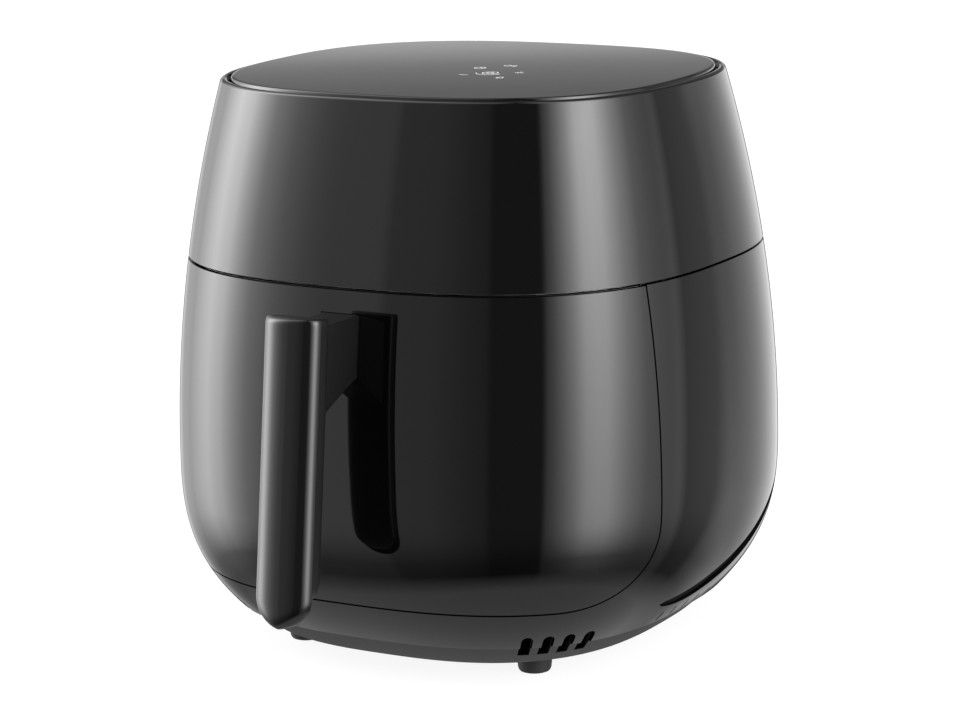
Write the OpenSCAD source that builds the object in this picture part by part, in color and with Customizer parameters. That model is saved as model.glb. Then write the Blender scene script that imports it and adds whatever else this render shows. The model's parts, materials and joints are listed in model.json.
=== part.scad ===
// Basket air fryer: a barrel-shaped housing with a pull-out drawer, a crisper plate
// in the drawer's basket, and a fan and a heating element in the head above it.
// Millimetres, +Z up, floor at z = 0, drawer opening towards -Y.

/* [Body] */
// Width of the body at its widest height
body_w = 300; // [270:1:360]
// Height of the top rim above the floor
body_h = 300; // [270:1:360]
// Height at which the body is widest
widest_z = 111; // [105:1:120]
// How much the half width shrinks from the widest height to the rim
top_draw_in = 23.5; // [12:0.5:30]
// How much the half width shrinks from the widest height to the floor
foot_draw_in = 55.7; // [45:0.1:60]
// Half depth minus half width at the floor
depth_gain_low = 3.7; // [0:0.1:8]
// Half width minus half depth at the rim
depth_loss_top = 10.2; // [4:0.1:14]
// Roundness of the plan: 2 is an ellipse, larger is squarer
squareness = 2.65; // [2.4:0.05:3]
// Thickness of the moulded housing walls
wall = 2.5; // [2:0.1:3.2]
// Height of the head, from the seam up to the rim
head_h = 92.5; // [90:0.5:115]
// Width of the seam between head and lower shell
seam_gap = 0.8; // [0.6:0.1:1.2]
// Height of the lower shell's bottom edge above the floor
shell_z = 22; // [20:0.5:25]

/* [Control panel] */
// Width of the rim round the panel
rim_w = 3.2; // [2.5:0.1:4]
// Gap between the rim and the glass
panel_gap = 1.6; // [1:0.1:2.2]
// Thickness of the glass
glass_t = 3.5; // [2.5:0.1:4]
// How far the glass stands above the rim
glass_proud = 1.2; // [0.4:0.1:2]
// Thickness of the gasket under the glass
gasket_t = 1.2; // [0.8:0.1:2]

/* [Drawer] */
// Distance of the drawer's side edges in front of the body axis
split_y = 68.5; // [60:0.5:75]
// Height of the drawer front's lower edge
sill_z = 44; // [40:0.5:48]
// Radius of the drawer front's lower corners, seen from the side
drawer_corner_r = 42; // [30:1:46]
// Gap round the drawer front
drawer_gap = 1; // [0.6:0.1:1.5]
// Drawer travel with the basket still on its rails
drawer_travel = 155; // [120:1:156]
// Thickness of the inner covers and the bezel
cover_t = 2.5; // [2:0.1:3]

/* [Cooking chamber] */
// Space between the chamber and the widest part of the body, each side
side_space = 31; // [28:1:40]
// Space between the chamber's back and the deepest part of the body
rear_space = 43; // [36:1:50]
// Height of the chamber floor
chamber_z = 50; // [46:1:53]
// Thickness of the chamber's sheet steel
sheet_t = 1.2; // [0.8:0.1:1.5]
// Radius of the chamber's rear corners
chamber_r = 34; // [26:1:40]
// Radius of the chamber's mouth in the deck
mouth_r = 100; // [90:1:104]
// Thickness of the deck
deck_t = 2.5; // [2:0.1:3]

/* [Basket] */
// Thickness of the basket's wall
basket_t = 1.5; // [1:0.1:2]
// Width of the basket's rim flange
basket_flange = 5.5; // [4.5:0.1:6]
// Gap between the flange and the chamber wall
basket_side_gap = 3.5; // [2.5:0.1:5]
// How much each side leans in from the rim to the floor
basket_draft = 9; // [5:0.5:12]
// Radius of the basket's upright corners
basket_r = 30; // [24:1:34]
// Height of the basket's underside
basket_z = 56; // [54:0.5:60]
// Gap in front of the basket, inside the drawer front
basket_front_gap = 29; // [28:1:34]
// Height of the crisper plate above the basket floor
plate_lift = 10; // [8:0.5:14]
// Thickness of the crisper plate
plate_t = 1.6; // [1.2:0.1:2.5]
// Diameter of the plate's air holes
plate_hole_d = 6; // [4:0.5:8]
// Distance between the plate's air holes
plate_pitch = 17; // [14:0.5:24]
// Gap between the plate's edge and the basket
plate_gap = 3; // [2.5:0.1:5]
// How far the plate lifts inside the closed chamber
plate_travel = 120; // [60:1:124]

/* [Handle] */
// Width of the handle
handle_w = 31.5; // [26:0.5:36]
// Depth of the handle's front shell
handle_front_d = 9; // [7:0.5:11]
// Depth of the handle's back shell
handle_back_d = 10; // [8:0.5:12]
// Distance from the body axis to the handle's parting face, at the top
handle_y = 182.3; // [178:0.1:200]
// Height of the handle's lower end
handle_low_z = 48.5; // [40:0.5:60]
// Gap from the head seam down to the handle's top
handle_drop = 6.5; // [4:0.5:12]
// Lean of the handle, bottom outwards
handle_lean = 7.2; // [0:0.1:8]
// Width of the neck
neck_w = 22; // [16:0.5:24]
// Height of the neck at the drawer front
neck_h = 32; // [24:1:34]

/* [Feet and vents] */
// Distance from the body axis to the feet, sideways
foot_x = 69.5; // [60:0.5:72]
// Distance from the body axis to the feet, front to back
foot_y = 72.2; // [60:0.1:74]
// Radius of a foot at its top
foot_r = 9.4; // [8:0.1:11]
// Height of a foot
foot_h = 8.5; // [7:0.5:9.5]
// Inset of the base below the lower shell
base_inset = 2.2; // [1.5:0.1:3]
// Width of a corner vent slot
vent_w = 6; // [4:0.5:7]
// Angle between corner vent slots
vent_pitch = 4.6; // [4.2:0.1:5.2]
// Width of the side crescent
crescent_w = 10; // [6:0.5:12]
// Radius of the side crescent's centre line
crescent_r = 155; // [140:1:170]

/* [Drive] */
// Radius of the fan shaft
shaft_r = 2.5; // [2:0.1:3.5]
// Running clearance of the shaft in its bearings, on the radius
bearing_clearance = 0.03; // [0.02:0.01:0.08]
// Radius of the convection fan
fan_r = 52; // [40:1:56]
// Radius of the cooling fan
cooling_r = 44; // [35:1:50]
// Radius of the motor's rotor
rotor_r = 14; // [11:0.5:16]
// Air gap between rotor and stator
air_gap = 0.5; // [0.4:0.1:0.8]
// Radius of the heating element's tube
element_r = 3.2; // [2.6:0.1:3.8]

/* [Hidden] */

$fn = 48;
segments = 48;          // points round a squircle
slip = 0.3;             // clearance between pieces that only lie close
screw_slip = 0.1;       // clearance round a screw in its hole
far = 2 * body_w;       // long enough to cut right through the body

// Heights
seam_z = body_h - head_h;
shell_top = seam_z - seam_gap / 2;
head_z = seam_z + seam_gap / 2;
deck_top = shell_top + deck_t;
ledge_t = 2.5;
ledge_top = body_h + glass_proud - glass_t - gasket_t;
ledge_w = 12;
glass_inset = rim_w + panel_gap;

// Plan sizes
back_y = half_d(widest_z);
bushing_out = 2.4;      // how far the cord bushing stands out of the back
chamber_w = body_w / 2 - side_space;
chamber_back = back_y - rear_space;
bezel_front = split_y - cover_t;
bezel_back = bezel_front - cover_t;
lid_room = 8.7;         // free height between the basket's rim and the deck
basket_top = shell_top - lid_room;
basket_w = chamber_w - sheet_t - basket_side_gap - basket_flange;
basket_back_gap = 7.1;  // gap between the flange and the chamber's back
basket_back = chamber_back - sheet_t - basket_flange - basket_back_gap;
basket_front = half_d(basket_top) - wall - basket_front_gap;
basket_mid = (basket_back - basket_front) / 2;
basket_d = (basket_back + basket_front) / 2;
passage_gap = 2;        // gap between the flange and the drawer passage
passage_w = basket_w + basket_flange + passage_gap;

// Handle
handle_top_z = seam_z - handle_drop;
handle_len = (handle_top_z - handle_low_z) / cos(handle_lean);
handle_reach = handle_y + handle_len * sin(handle_lean) + handle_front_d;
neck_drop = 6;          // how far the neck's top lies below the handle's top
neck_in = 11;           // how far the neck reaches inside the drawer front
neck_top = handle_top_z - neck_drop;
neck_low = neck_top - neck_h;
neck_root = half_d(neck_low);
neck_end_y = half_d(neck_top) - wall - neck_in;

// Head stack, upwards from the deck
dome_t = 0.8;
dome_h = 42;
dome_top = deck_top + dome_h;
dome_top_r = mouth_r - 16;
guard_z = deck_top + 4.5;
element_z = deck_top + 17;
fan_z = deck_top + 27;
cooling_z = dome_top + 2.5;
bracket_z = dome_top + 8.5;
bracket_x = mouth_r + 12;
stack_z = bracket_z + 6;
stack_h = 17;
stack_top = stack_z + stack_h;
bearing_h = 3;
board_z = body_h - 12.5;
board_t = 1.6;

// The body axis stands behind the middle of the overall depth
axis_y = (handle_reach - back_y - bushing_out) / 2;

// Half width and half depth of the body at height z
function half_w(z) = z > widest_z
    ? body_w / 2 - top_draw_in * pow((z - widest_z) / (body_h - widest_z), 2)
    : body_w / 2 - foot_draw_in * pow((widest_z - z) / widest_z, 3.08);
function half_d(z) = half_w(z) + depth_gain_low - (depth_gain_low + depth_loss_top) * z / body_h;

// A superellipse with half axes a and b
function bend(v) = sign(v) * pow(abs(v), 2 / squareness);
function squircle_point(a, b, t) = [a * bend(cos(t)), b * bend(sin(t))];
function squircle(a, b) = [for (i = [0:segments - 1]) squircle_point(a, b, 360 * i / segments)];

// The body's outline at height z, drawn in by inset
function section(inset, z) = squircle(half_w(z) - inset, half_d(z) - inset);
function lift(points, z) = [for (p = points) [p[0], p[1], z]];
function loop_at(r) = lift(section(r[0], r[1]), r[1]);

// Heights of the rings that a wall is lofted through, closer where the body curves in
shell_curve_z = 64;     // below this height the body curves in
stations = concat([for (z = [8:8:shell_curve_z]) z],
    [for (z = [shell_curve_z + 24:24:2 * body_h]) z]);
function levels(a, b) = concat([a], [for (z = stations) if (z > a + 2 && z < b - 2) z], [b]);
function reversed(v) = [for (i = [len(v) - 1:-1:0]) v[i]];

// A rectangle with rounded corners, as points
function arc(c, r, a0, a1, n) = [
    for (i = [0:n]) let (t = a0 + (a1 - a0) * i / n) [c[0] + r * cos(t), c[1] + r * sin(t)],
];
function round_rect(w, d, r, n = 7) = concat(
    arc([w - r, d - r], r, 0, 90, n), arc([r - w, d - r], r, 90, 180, n),
    arc([r - w, r - d], r, 180, 270, n), arc([w - r, r - d], r, 270, 360, n));

// A closed skin over loops of equal length; a band joins the last loop to the first
module skin(loops, band = false) {
    m = len(loops);
    n = len(loops[0]);
    sides = [
        for (i = [0:m - (band ? 1 : 2)], k = [0:n - 1])
            let (j = (i + 1) % m, l = (k + 1) % n)
            each [[i * n + k, j * n + k, j * n + l], [i * n + k, j * n + l, i * n + l]],
    ];
    ends = band ? [] : [[for (k = [0:n - 1]) k], [for (k = [0:n - 1]) m * n - 1 - k]];
    polyhedron([for (l = loops) each l], concat(sides, ends));
}

// A ring-shaped wall and a filled core, both following the body
module body_band(rings) skin([for (r = rings) loop_at(r)], true);
module body_core(inset, z0, z1) skin([for (z = levels(z0, z1)) loop_at([inset, z])]);
module body_wall(inset, t, z0, z1)
    body_band(concat([for (z = levels(z0, z1)) [inset, z]],
        [for (z = reversed(levels(z0, z1))) [inset + t, z]]));
module squircle_plate(inset, z, t)
    translate([0, 0, z]) linear_extrude(t) polygon(section(inset, z + t));

// Prisms along X and along Y, drawn in the YZ and the XZ plane
module along_x(w) rotate([90, 0, 90]) linear_extrude(w, center = true) children();
module along_y(y0, y1)
    translate([0, y1, 0]) rotate([90, 0, 0]) linear_extrude(y1 - y0) children();

// The drawer front's side outline, drawn in by inset
module drawer_side(inset, top) {
    r = drawer_corner_r - inset;
    c = [-split_y - drawer_corner_r, sill_z + drawer_corner_r];
    polygon(concat([[-far, sill_z + inset]], arc(c, r, -90, 0, 10),
        [[-split_y - inset, top], [-far, top]]));
}

// Pieces drawn about the body axis are set down in the part's own frame
module place() translate([0, axis_y, 0]) children();

module screw(length, r = 1.9, head_r = 3.8, head_h = 2.6) {
    cylinder(r = r, h = length);
    translate([0, 0, -head_h]) difference() {
        cylinder(r = head_r, h = head_h);
        translate([0, 0, -0.01]) cylinder(r = head_r / 2, h = head_h / 2, $fn = 6);
    }
}

// ---- Head ----

module upper_housing() color("#1b1c1e") place() body_band(concat(
    [for (z = levels(head_z, body_h - 9)) [0, z]],
    [[0, body_h - 2.4], [0.5, body_h - 0.8], [1.4, body_h], [2.5, body_h]],
    [[rim_w, body_h - 0.7], [rim_w, ledge_top], [ledge_w, ledge_top]],
    [[ledge_w, ledge_top - ledge_t], [wall + 3, ledge_top - 6]],
    [for (z = reversed(levels(head_z, body_h - 16))) [wall, z]]));

module panel_gasket() color("#0c0c0c") place() difference() {
    squircle_plate(glass_inset + 0.6, ledge_top, gasket_t);
    translate([0, 0, -1]) squircle_plate(ledge_w - 0.5, ledge_top, gasket_t + 2);
}

module control_panel() color("#101113") place()
    squircle_plate(glass_inset, ledge_top + gasket_t, glass_t);

touch_points = [[9, -27], [19, -16], [33, -10], [4, 0], [33, -31], [15, 13]];
display_at = [0, 36];
display_size = [52, 20];
post_at = [52, 38];     // carrier posts that hold the board

module panel_carrier() color("#18181a") place() difference() {
    union() {
        squircle_plate(ledge_w + slip, ledge_top - ledge_t, ledge_t);
        for (x = [-post_at[0], post_at[0]], y = [-post_at[1], post_at[1]])
            translate([x, y, board_z + board_t])
                cylinder(r = 3, h = ledge_top - ledge_t - board_z - board_t + 1);
    }
    for (p = touch_points) translate([p[0], p[1], board_z]) cylinder(r = 4, h = 20);
    translate([display_at[0] - display_size[0] / 2 - slip,
        display_at[1] - display_size[1] / 2 - slip, board_z])
        cube([display_size[0] + 2 * slip, display_size[1] + 2 * slip, 20]);
}

module control_board() color("#1f5a32") place()
    translate([-60, -46, board_z]) cube([120, 92, board_t]);

module display_module() color("#d8d8d0") place()
    translate([display_at[0] - display_size[0] / 2, display_at[1] - display_size[1] / 2,
        board_z + board_t])
        cube([display_size[0], display_size[1], ledge_top + gasket_t - board_z - board_t]);

module touch_springs() color("silver") place()
    for (p = touch_points) translate([p[0], p[1], board_z + board_t]) difference() {
        cylinder(r = 3, h = ledge_top + gasket_t - board_z - board_t);
        translate([0, 0, -1]) cylinder(r = 2.2, h = 20);
    }

// Screws that hold the deck to the lower shell's flange
flange_w = 7.4;
flange_drop = 6;
deck_screw_r = 1.5;
deck_screw_angles = [60, 120, 195, 345];
bracket_screw_r = 1.6;
module at_deck_screws()
    for (t = deck_screw_angles, inset = (wall + flange_w) / 2)
        translate(squircle_point(half_w(shell_top) - inset, half_d(shell_top) - inset, t))
            children();

module upper_deck() color("#6d6f72") place() difference() {
    squircle_plate(wall + 2 * slip, shell_top, deck_t);
    translate([0, 0, shell_top - 1]) cylinder(r = mouth_r, h = deck_t + 2, $fn = 96);
    at_deck_screws() translate([0, 0, shell_top - 1])
        cylinder(r = deck_screw_r + screw_slip, h = deck_t + 2);
    at_bracket_screws() translate([0, 0, shell_top - 1])
        cylinder(r = bracket_screw_r + screw_slip, h = deck_t + 2);
}

module deck_screws() color("silver") place()
    at_deck_screws() translate([0, 0, shell_top - flange_drop - 0.3])
        screw(flange_drop + deck_t, deck_screw_r, 2.4, 2);

dome_bevel = 16;        // height of the dome's sloping shoulder
shaft_hole_gap = 3.5;   // room round the shaft where it passes the dome
module heater_dome() color("#c9cbcc") place() difference() {
    rotate_extrude($fn = 96) difference() {
        polygon([[0, dome_top + dome_t], [dome_top_r, dome_top + dome_t],
            [mouth_r + dome_t, dome_top - dome_bevel], [mouth_r + dome_t, deck_top + dome_t],
            [mouth_r + 8, deck_top + dome_t], [mouth_r + 8, deck_top], [0, deck_top]]);
        polygon([[-1, dome_top], [dome_top_r, dome_top], [mouth_r, dome_top - dome_bevel],
            [mouth_r, deck_top - 1], [-1, deck_top - 1]]);
    }
    translate([0, 0, dome_top - 5]) cylinder(r = shaft_r + shaft_hole_gap, h = 10);
    at_terminals() translate([0, 0, dome_top - 5]) cylinder(r = element_r, h = 10);
    sensor_place() translate([0, 0, dome_top - 5]) cylinder(r = sensor_r + 0.2, h = 10);
}

inner_turn = 62;
outer_turn = 78;
turn_gap = 24;          // open part of each turn, in degrees
leg_in = 4;             // legs and link stand this many degrees inside the ends of the turns
leg_r = element_r - 0.5;
module at_terminals()
    for (r = [inner_turn, outer_turn])
        rotate(90 + turn_gap / 2 + leg_in) translate([r, 0, 0]) children();

module heating_element() color("#4b4d50") place() {
    for (r = [inner_turn, outer_turn])
        translate([0, 0, element_z]) rotate(90 + turn_gap / 2)
            rotate_extrude(angle = 360 - turn_gap) translate([r, 0]) circle(r = element_r);
    rotate(90 - turn_gap / 2 - leg_in) translate([inner_turn, 0, element_z]) rotate([0, 90, 0])
        cylinder(r = leg_r, h = outer_turn - inner_turn);
    at_terminals() translate([0, 0, element_z]) cylinder(r = leg_r, h = dome_top + 8 - element_z);
}

clip_angles = [200, 320, 60];
module element_clips() color("silver") place()
    for (a = clip_angles) rotate(a) translate([0, -3, 0]) {
        translate([inner_turn - 5, 0, element_z + element_r + 0.2])
            cube([outer_turn - inner_turn + 10, 6, 1]);
        translate([inner_turn + 7, 0, element_z + element_r + 1.1])
            cube([1.2, 6, dome_top - element_z - element_r - 1.1]);
    }

wire_r = 1.2;
guard_rings = [24, 42, 60, 78, 94];
module element_guard() color("silver") place() translate([0, 0, guard_z]) {
    for (r = guard_rings) rotate_extrude() translate([r, 0]) circle(r = wire_r, $fn = 16);
    for (a = [0:60:300]) rotate(a) translate([22, 0, 1.6]) rotate([0, 90, 0])
        cylinder(r = wire_r, h = mouth_r - 23.5, $fn = 16);
}

sensor_r = 2;
module sensor_place() rotate(170) translate([72, 0, 0]) children();
module temperature_sensor() color("#b8b8b0") place() sensor_place() {
    translate([0, 0, dome_top - 17]) cylinder(r = sensor_r, h = 24);
    translate([0, 0, dome_top + dome_t]) cylinder(r = 4, h = 3);
}

module thermal_cutout() color("#e6e2d6") place()
    translate([62, 26, dome_top + dome_t]) {
        cylinder(r = 8.5, h = 5);
        translate([-12, -2, 0]) cube([24, 4, 1]);
    }

bracket_w = 30;
bracket_t = 1.4;
module at_bracket_screws()
    for (x = [-1, 1], y = [-8, 8]) translate([x * (bracket_x + 8), y, 0]) children();

module motor_bracket() color("#9a9da0") place() difference() {
    union() {
        translate([-bracket_x, -bracket_w / 2, bracket_z])
            cube([2 * bracket_x, bracket_w, bracket_t]);
        for (s = [0, 1]) mirror([s, 0, 0]) {
            translate([bracket_x - bracket_t, -bracket_w / 2, deck_top])
                cube([bracket_t, bracket_w, bracket_z + bracket_t - deck_top]);
            translate([bracket_x - bracket_t, -bracket_w / 2, deck_top])
                cube([16, bracket_w, bracket_t]);
        }
    }
    translate([0, 0, bracket_z - 1]) cylinder(r = shaft_r + 6, h = bracket_t + 2);
    at_bracket_screws() translate([0, 0, deck_top - 1]) cylinder(r = 2, h = bracket_t + 2);
}

module bracket_screws() color("silver") place()
    at_bracket_screws() translate([0, 0, deck_top + bracket_t + 0.02]) mirror([0, 0, 1])
        screw(bracket_t + deck_t, bracket_screw_r, 3.2, 2.2);

stator_x = 58;
stator_y = 44;
coil_y = 46;
core_w = 12;            // width of the core's limb inside the coil
coil_t = 3.2;           // depth of the winding over the core
module motor_stator() color("#7b7f84") place() translate([0, 0, stack_z]) difference() {
    translate([-stator_x / 2, -stator_y / 2, 0])
        cube([stator_x, stator_y / 2 + coil_y + core_w / 2, stack_h]);
    translate([0, 0, -1]) cylinder(r = rotor_r + air_gap, h = stack_h + 2);
    translate([-stator_x / 2 + 12, stator_y / 2 + 2, -1])
        cube([stator_x - 24, coil_y - core_w / 2 - stator_y / 2 - 2, stack_h + 2]);
}

module motor_coil() color("#b4602c") place()
    translate([0, coil_y, stack_z + stack_h / 2]) difference() {
        cube([30, core_w + 2 * slip + 2 * coil_t, stack_h + 8], center = true);
        cube([32, core_w + 2 * slip, stack_h + 2 * slip], center = true);
    }

module bearing_bridge() difference() {
    union() {
        cylinder(r = 7, h = bearing_h);
        translate([-stator_x / 2, -5, 0]) cube([stator_x, 10, 1.6]);
        for (x = [-1, 1]) translate([x * (stator_x / 2 - 5) - 5, -5, 0]) cube([10, 10, bearing_h]);
    }
    translate([0, 0, -1]) cylinder(r = shaft_r + bearing_clearance, h = bearing_h + 2);
}
module motor_bearings() color("#8d8466") place() {
    translate([0, 0, stack_z]) mirror([0, 0, 1]) bearing_bridge();
    translate([0, 0, stack_top]) bearing_bridge();
}

module power_board() color("#2f6b3c") place() {
    translate([-45, chamber_back + 5, deck_top]) {
        cube([90, board_t, 46]);
        translate([6, -8, 14]) cube([20, 8, 15]);
        translate([34, -8, 16]) cube([15, 8, 18]);
        translate([60, -7, 10]) cube([22, 7, 26]);
    }
}

// ---- Lower shell ----

floor_t = 2.5;          // base floor
base_lip = 8;           // how far the base reaches up inside the lower shell
// Radial vent slots in the four lower corners, open downwards into the base
vent_top = shell_z + 8;
vent_low = shell_z - 6;
module corner_vents()
    for (q = [45, 135, 225, 315], i = [-1.5:1:1.5]) rotate(q + i * vent_pitch)
        translate([half_w(vent_low) - 3, 0, 0]) {
            translate([0, -vent_w / 2, vent_low])
                cube([far, vent_w, vent_top - vent_w / 2 - vent_low]);
            translate([0, 0, vent_top - vent_w / 2]) rotate([0, 90, 0])
                cylinder(r = vent_w / 2, h = far);
        }

// Narrow slots under each side crescent
slot_w = 1.6;
slot_h = 5;
module side_slots()
    for (y = [-36:13:29]) translate([-far / 2, y - slot_w / 2, shell_z + 1.5])
        cube([far, slot_w, slot_h]);

// The crescent-shaped air intake in each side, tapered to both ends
crescent_y = -30;
crescent_low_z = 35;
crescent_from = -97;
crescent_to = -42;
module crescent(grow) {
    c = [crescent_y, crescent_low_z + crescent_r];
    n = 14;
    ends = [for (i = [0:n]) let (f = i / n) [crescent_from + (crescent_to - crescent_from) * f,
        grow + crescent_w / 2 * sqrt(sin(180 * f))]];
    polygon([for (e = ends) c + (crescent_r + e[1]) * [cos(e[0]), sin(e[0])],
        for (e = reversed(ends)) c + (crescent_r - e[1] - 0.01) * [cos(e[0]), sin(e[0])]]);
}

grille_z = [118, 178];  // lower and upper edge of the rear opening
grille_x = 50;          // its half width
slat_pitch = 9;
slat_gap = 4;
bushing_z = 95;
bushing_r = 8.5;
cord_r = 3.6;           // bore for the mains cord

module lower_shell() color("#1b1c1e") place() difference() {
    body_band(concat(
        [for (z = levels(shell_z, shell_top)) [0, z]],
        [[flange_w, shell_top], [flange_w, shell_top - 2.5]],
        [for (z = reversed(levels(shell_z, shell_top - flange_drop))) [wall, z]]));
    along_x(far) drawer_side(0, shell_top + 1);
    corner_vents();
    side_slots();
    along_x(far) crescent(0);
    along_y(0, far) translate([-grille_x, grille_z[0]])
        square([2 * grille_x, grille_z[1] - grille_z[0]]);
    translate([0, back_y, bushing_z]) rotate([90, 0, 0])
        cylinder(r = bushing_r + screw_slip, h = 30, center = true);
    at_deck_screws() translate([0, 0, shell_top - flange_drop - 2])
        cylinder(r = deck_screw_r + screw_slip, h = flange_drop + 4);
}

module side_baffles() color("#0a0a0a") place() intersection() {
    body_wall(wall + slip, 1.6, shell_z + base_lip + slip, crescent_low_z + 65);
    along_x(far) crescent(4);
    translate([-far / 2, -far / 2, 0]) cube([far, far, far]);
}

mouth_corner = 20;      // radius of the lower corners of the opening for the basket
mouth_low = basket_z - 2.5;
module front_bezel() color("#131314") place() difference() {
    intersection() {
        body_core(wall + slip, sill_z - 12, shell_top - slip);
        along_x(far) difference() {
            drawer_side(-2 * cover_t, shell_top);
            drawer_side(-cover_t, shell_top + 1);
        }
    }
    along_y(-far / 2, 0) polygon(concat(
        [[passage_w, basket_top + 3], [-passage_w, basket_top + 3]],
        arc([mouth_corner - passage_w, mouth_low + mouth_corner], mouth_corner, 180, 270, 7),
        arc([passage_w - mouth_corner, mouth_low + mouth_corner], mouth_corner, 270, 360, 7)));
    // Clear of the lower shell's flange at the upper corners
    for (s = [0, 1]) mirror([s, 0, 0])
        translate([chamber_w + 3, -far / 2, shell_top - flange_drop - slip]) cube([far, far, far]);
}

// ---- Cooking chamber ----

function chamber_plan(inset) = concat([[-chamber_w + inset, -bezel_back + slip],
    [chamber_w - inset, -bezel_back + slip]],
    arc([chamber_w - chamber_r, chamber_back - chamber_r], chamber_r - inset, 0, 90, 8),
    arc([chamber_r - chamber_w, chamber_back - chamber_r], chamber_r - inset, 90, 180, 8));
duct_z = [grille_z[0] + 6, grille_z[1] - 6];
duct_x = grille_x - 6;

module chamber_liner() color("#a8abad") place() difference() {
    translate([0, 0, chamber_z]) linear_extrude(shell_top - slip - chamber_z)
        polygon(chamber_plan(0));
    translate([0, 0, chamber_z + sheet_t]) linear_extrude(shell_top)
        polygon(chamber_plan(sheet_t));
    translate([-chamber_w + sheet_t, -bezel_back - 5, chamber_z + sheet_t])
        cube([2 * (chamber_w - sheet_t), 12, shell_top]);
    for (x = [-36:12:36], z = [duct_z[0] + 6:12:duct_z[1] - 6])
        translate([x, chamber_back, z]) rotate([90, 0, 0]) cylinder(r = 3, h = 10, center = true);
}

rail_w = basket_side_gap + basket_flange - 2.5;
module guide_rails() color("#b9bcbe") place() for (s = [0, 1]) mirror([s, 0, 0])
    translate([chamber_w - sheet_t - rail_w, -bezel_back + 1, basket_top - 2.4 - 6])
        cube([rail_w, chamber_back - chamber_r + bezel_back - 1, 6]);

module exhaust_duct() color("#8e9194") place() along_y(chamber_back + 0.1, back_y - 13)
    difference() {
        translate([-duct_x, duct_z[0]]) square([2 * duct_x, duct_z[1] - duct_z[0]]);
        translate([-duct_x + 1, duct_z[0] + 1])
            square([2 * duct_x - 2, duct_z[1] - duct_z[0] - 2]);
    }

module exhaust_grille() color("#0d0d0d") place() difference() {
    intersection() {
        body_wall(0.6, wall, grille_z[0] - 10, grille_z[1] + 10);
        along_y(0, far) translate([-grille_x + slip, grille_z[0] + slip])
            square([2 * (grille_x - slip), grille_z[1] - grille_z[0] - 2 * slip]);
    }
    for (z = [grille_z[0] + 7:slat_pitch:grille_z[1] - 7])
        translate([-duct_x, 0, z]) cube([2 * duct_x, far, slat_gap]);
}

module cord_bushing() color("#0b0b0b") place()
    translate([0, back_y, bushing_z]) rotate([-90, 0, 0]) difference() {
        union() {
            translate([0, 0, -wall - 5]) cylinder(r = bushing_r, h = wall + 5 + bushing_out);
            translate([0, 0, 0.8]) cylinder(r = bushing_r + 3, h = bushing_out - 0.8);
        }
        translate([0, 0, -wall - 6]) cylinder(r = cord_r, h = wall + 12);
    }

// ---- Drawer sensor: a reed switch behind the bezel and a magnet in the drawer ----

sensor_x = passage_w - mouth_corner;
module drawer_sensor() color("#e4e4e0") place()
    translate([sensor_x - 8, -bezel_back + slip, chamber_z - 11]) cube([16, 7, 8]);

module sensor_magnet() color("#55585c") place()
    translate([sensor_x, -split_y - drawer_gap - cover_t - 0.1, basket_z - 4]) rotate([90, 0, 0])
        cylinder(r = 3, h = 4);

// ---- Base ----

module base_pan() color("#111112") place() difference() {
    skin([for (r = [[5.5, foot_h], [3.2, foot_h + 1], [base_inset, foot_h + 3.5],
        [base_inset, shell_z - 4.5], [base_inset, shell_z - 0.4], [wall + 1, shell_z - 0.4],
        [wall + 1, shell_z + base_lip], [wall + 3, shell_z + base_lip], [wall + 3.2, shell_z],
        [wall + 3.4, foot_h + 6], [wall + 4, foot_h + floor_t]]) loop_at(r)]);
    corner_vents();
    at_feet() cylinder(r = 2, h = 30);
    for (a = [0:30:330]) rotate(a) translate([38, 0, 0]) cylinder(r = 4, h = 30); // intake
}

module at_feet()
    for (x = [-foot_x, foot_x], y = [-foot_y, foot_y]) translate([x, y, 0]) children();

module rubber_feet() color("#0a0a0a") place() at_feet() difference() {
    rotate_extrude() polygon([[0, 0], [foot_r - 2.6, 0], [foot_r - 1.2, 0.9], [foot_r - 0.7, 2.2],
        [foot_r, foot_h], [0, foot_h]]);
    translate([0, 0, -1]) cylinder(r = 2.1, h = foot_h + 2);
    translate([0, 0, -1]) cylinder(r = 4.2, h = 5.5);
}

module foot_screws() color("silver") place()
    at_feet() translate([0, 0, 4.5]) screw(11, 1.9, 3.8, 2.6);

// ---- Rotating parts ----

module motor_shaft() color("silver") place()
    translate([0, 0, fan_z - 6])
        cylinder(r = shaft_r, h = stack_top + bearing_h + 0.5 - fan_z + 6);

press_gap = 0.02;       // between the shaft and what is pressed on it
module hub(r, h) difference() {
    cylinder(r = r, h = h);
    translate([0, 0, -1]) cylinder(r = shaft_r + press_gap, h = h + 2);
}
module impeller(r, hub_r, h, disc_z, blades, t) difference() {
    union() {
        cylinder(r = hub_r, h = h);
        translate([0, 0, disc_z]) cylinder(r = r, h = t);
        for (a = [0:360 / blades:359]) rotate(a) translate([hub_r + 4, 0, 0]) rotate(28)
            translate([0, -t / 2, 0]) cube([r - hub_r - 9, t, h]);
    }
    translate([0, 0, -1]) cylinder(r = shaft_r + press_gap, h = h + 2);
}
module motor_rotor() color("#8a8d90") place()
    translate([0, 0, stack_z + 0.5]) hub(rotor_r, stack_h - 1);
module cooling_fan() color("#202224") place()
    translate([0, 0, cooling_z]) impeller(cooling_r, 8, 5, 0, 8, 1);
module convection_fan() color("#b5b8ba") place()
    translate([0, 0, fan_z]) impeller(fan_r, 9, 11, 10, 10, 1);
module fan_nut() color("silver") place() translate([0, 0, fan_z - 4.2]) difference() {
    cylinder(r = 5, h = 4, $fn = 6);
    translate([0, 0, -1]) cylinder(r = shaft_r + press_gap, h = 6);
}

// ---- Drawer ----

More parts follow.
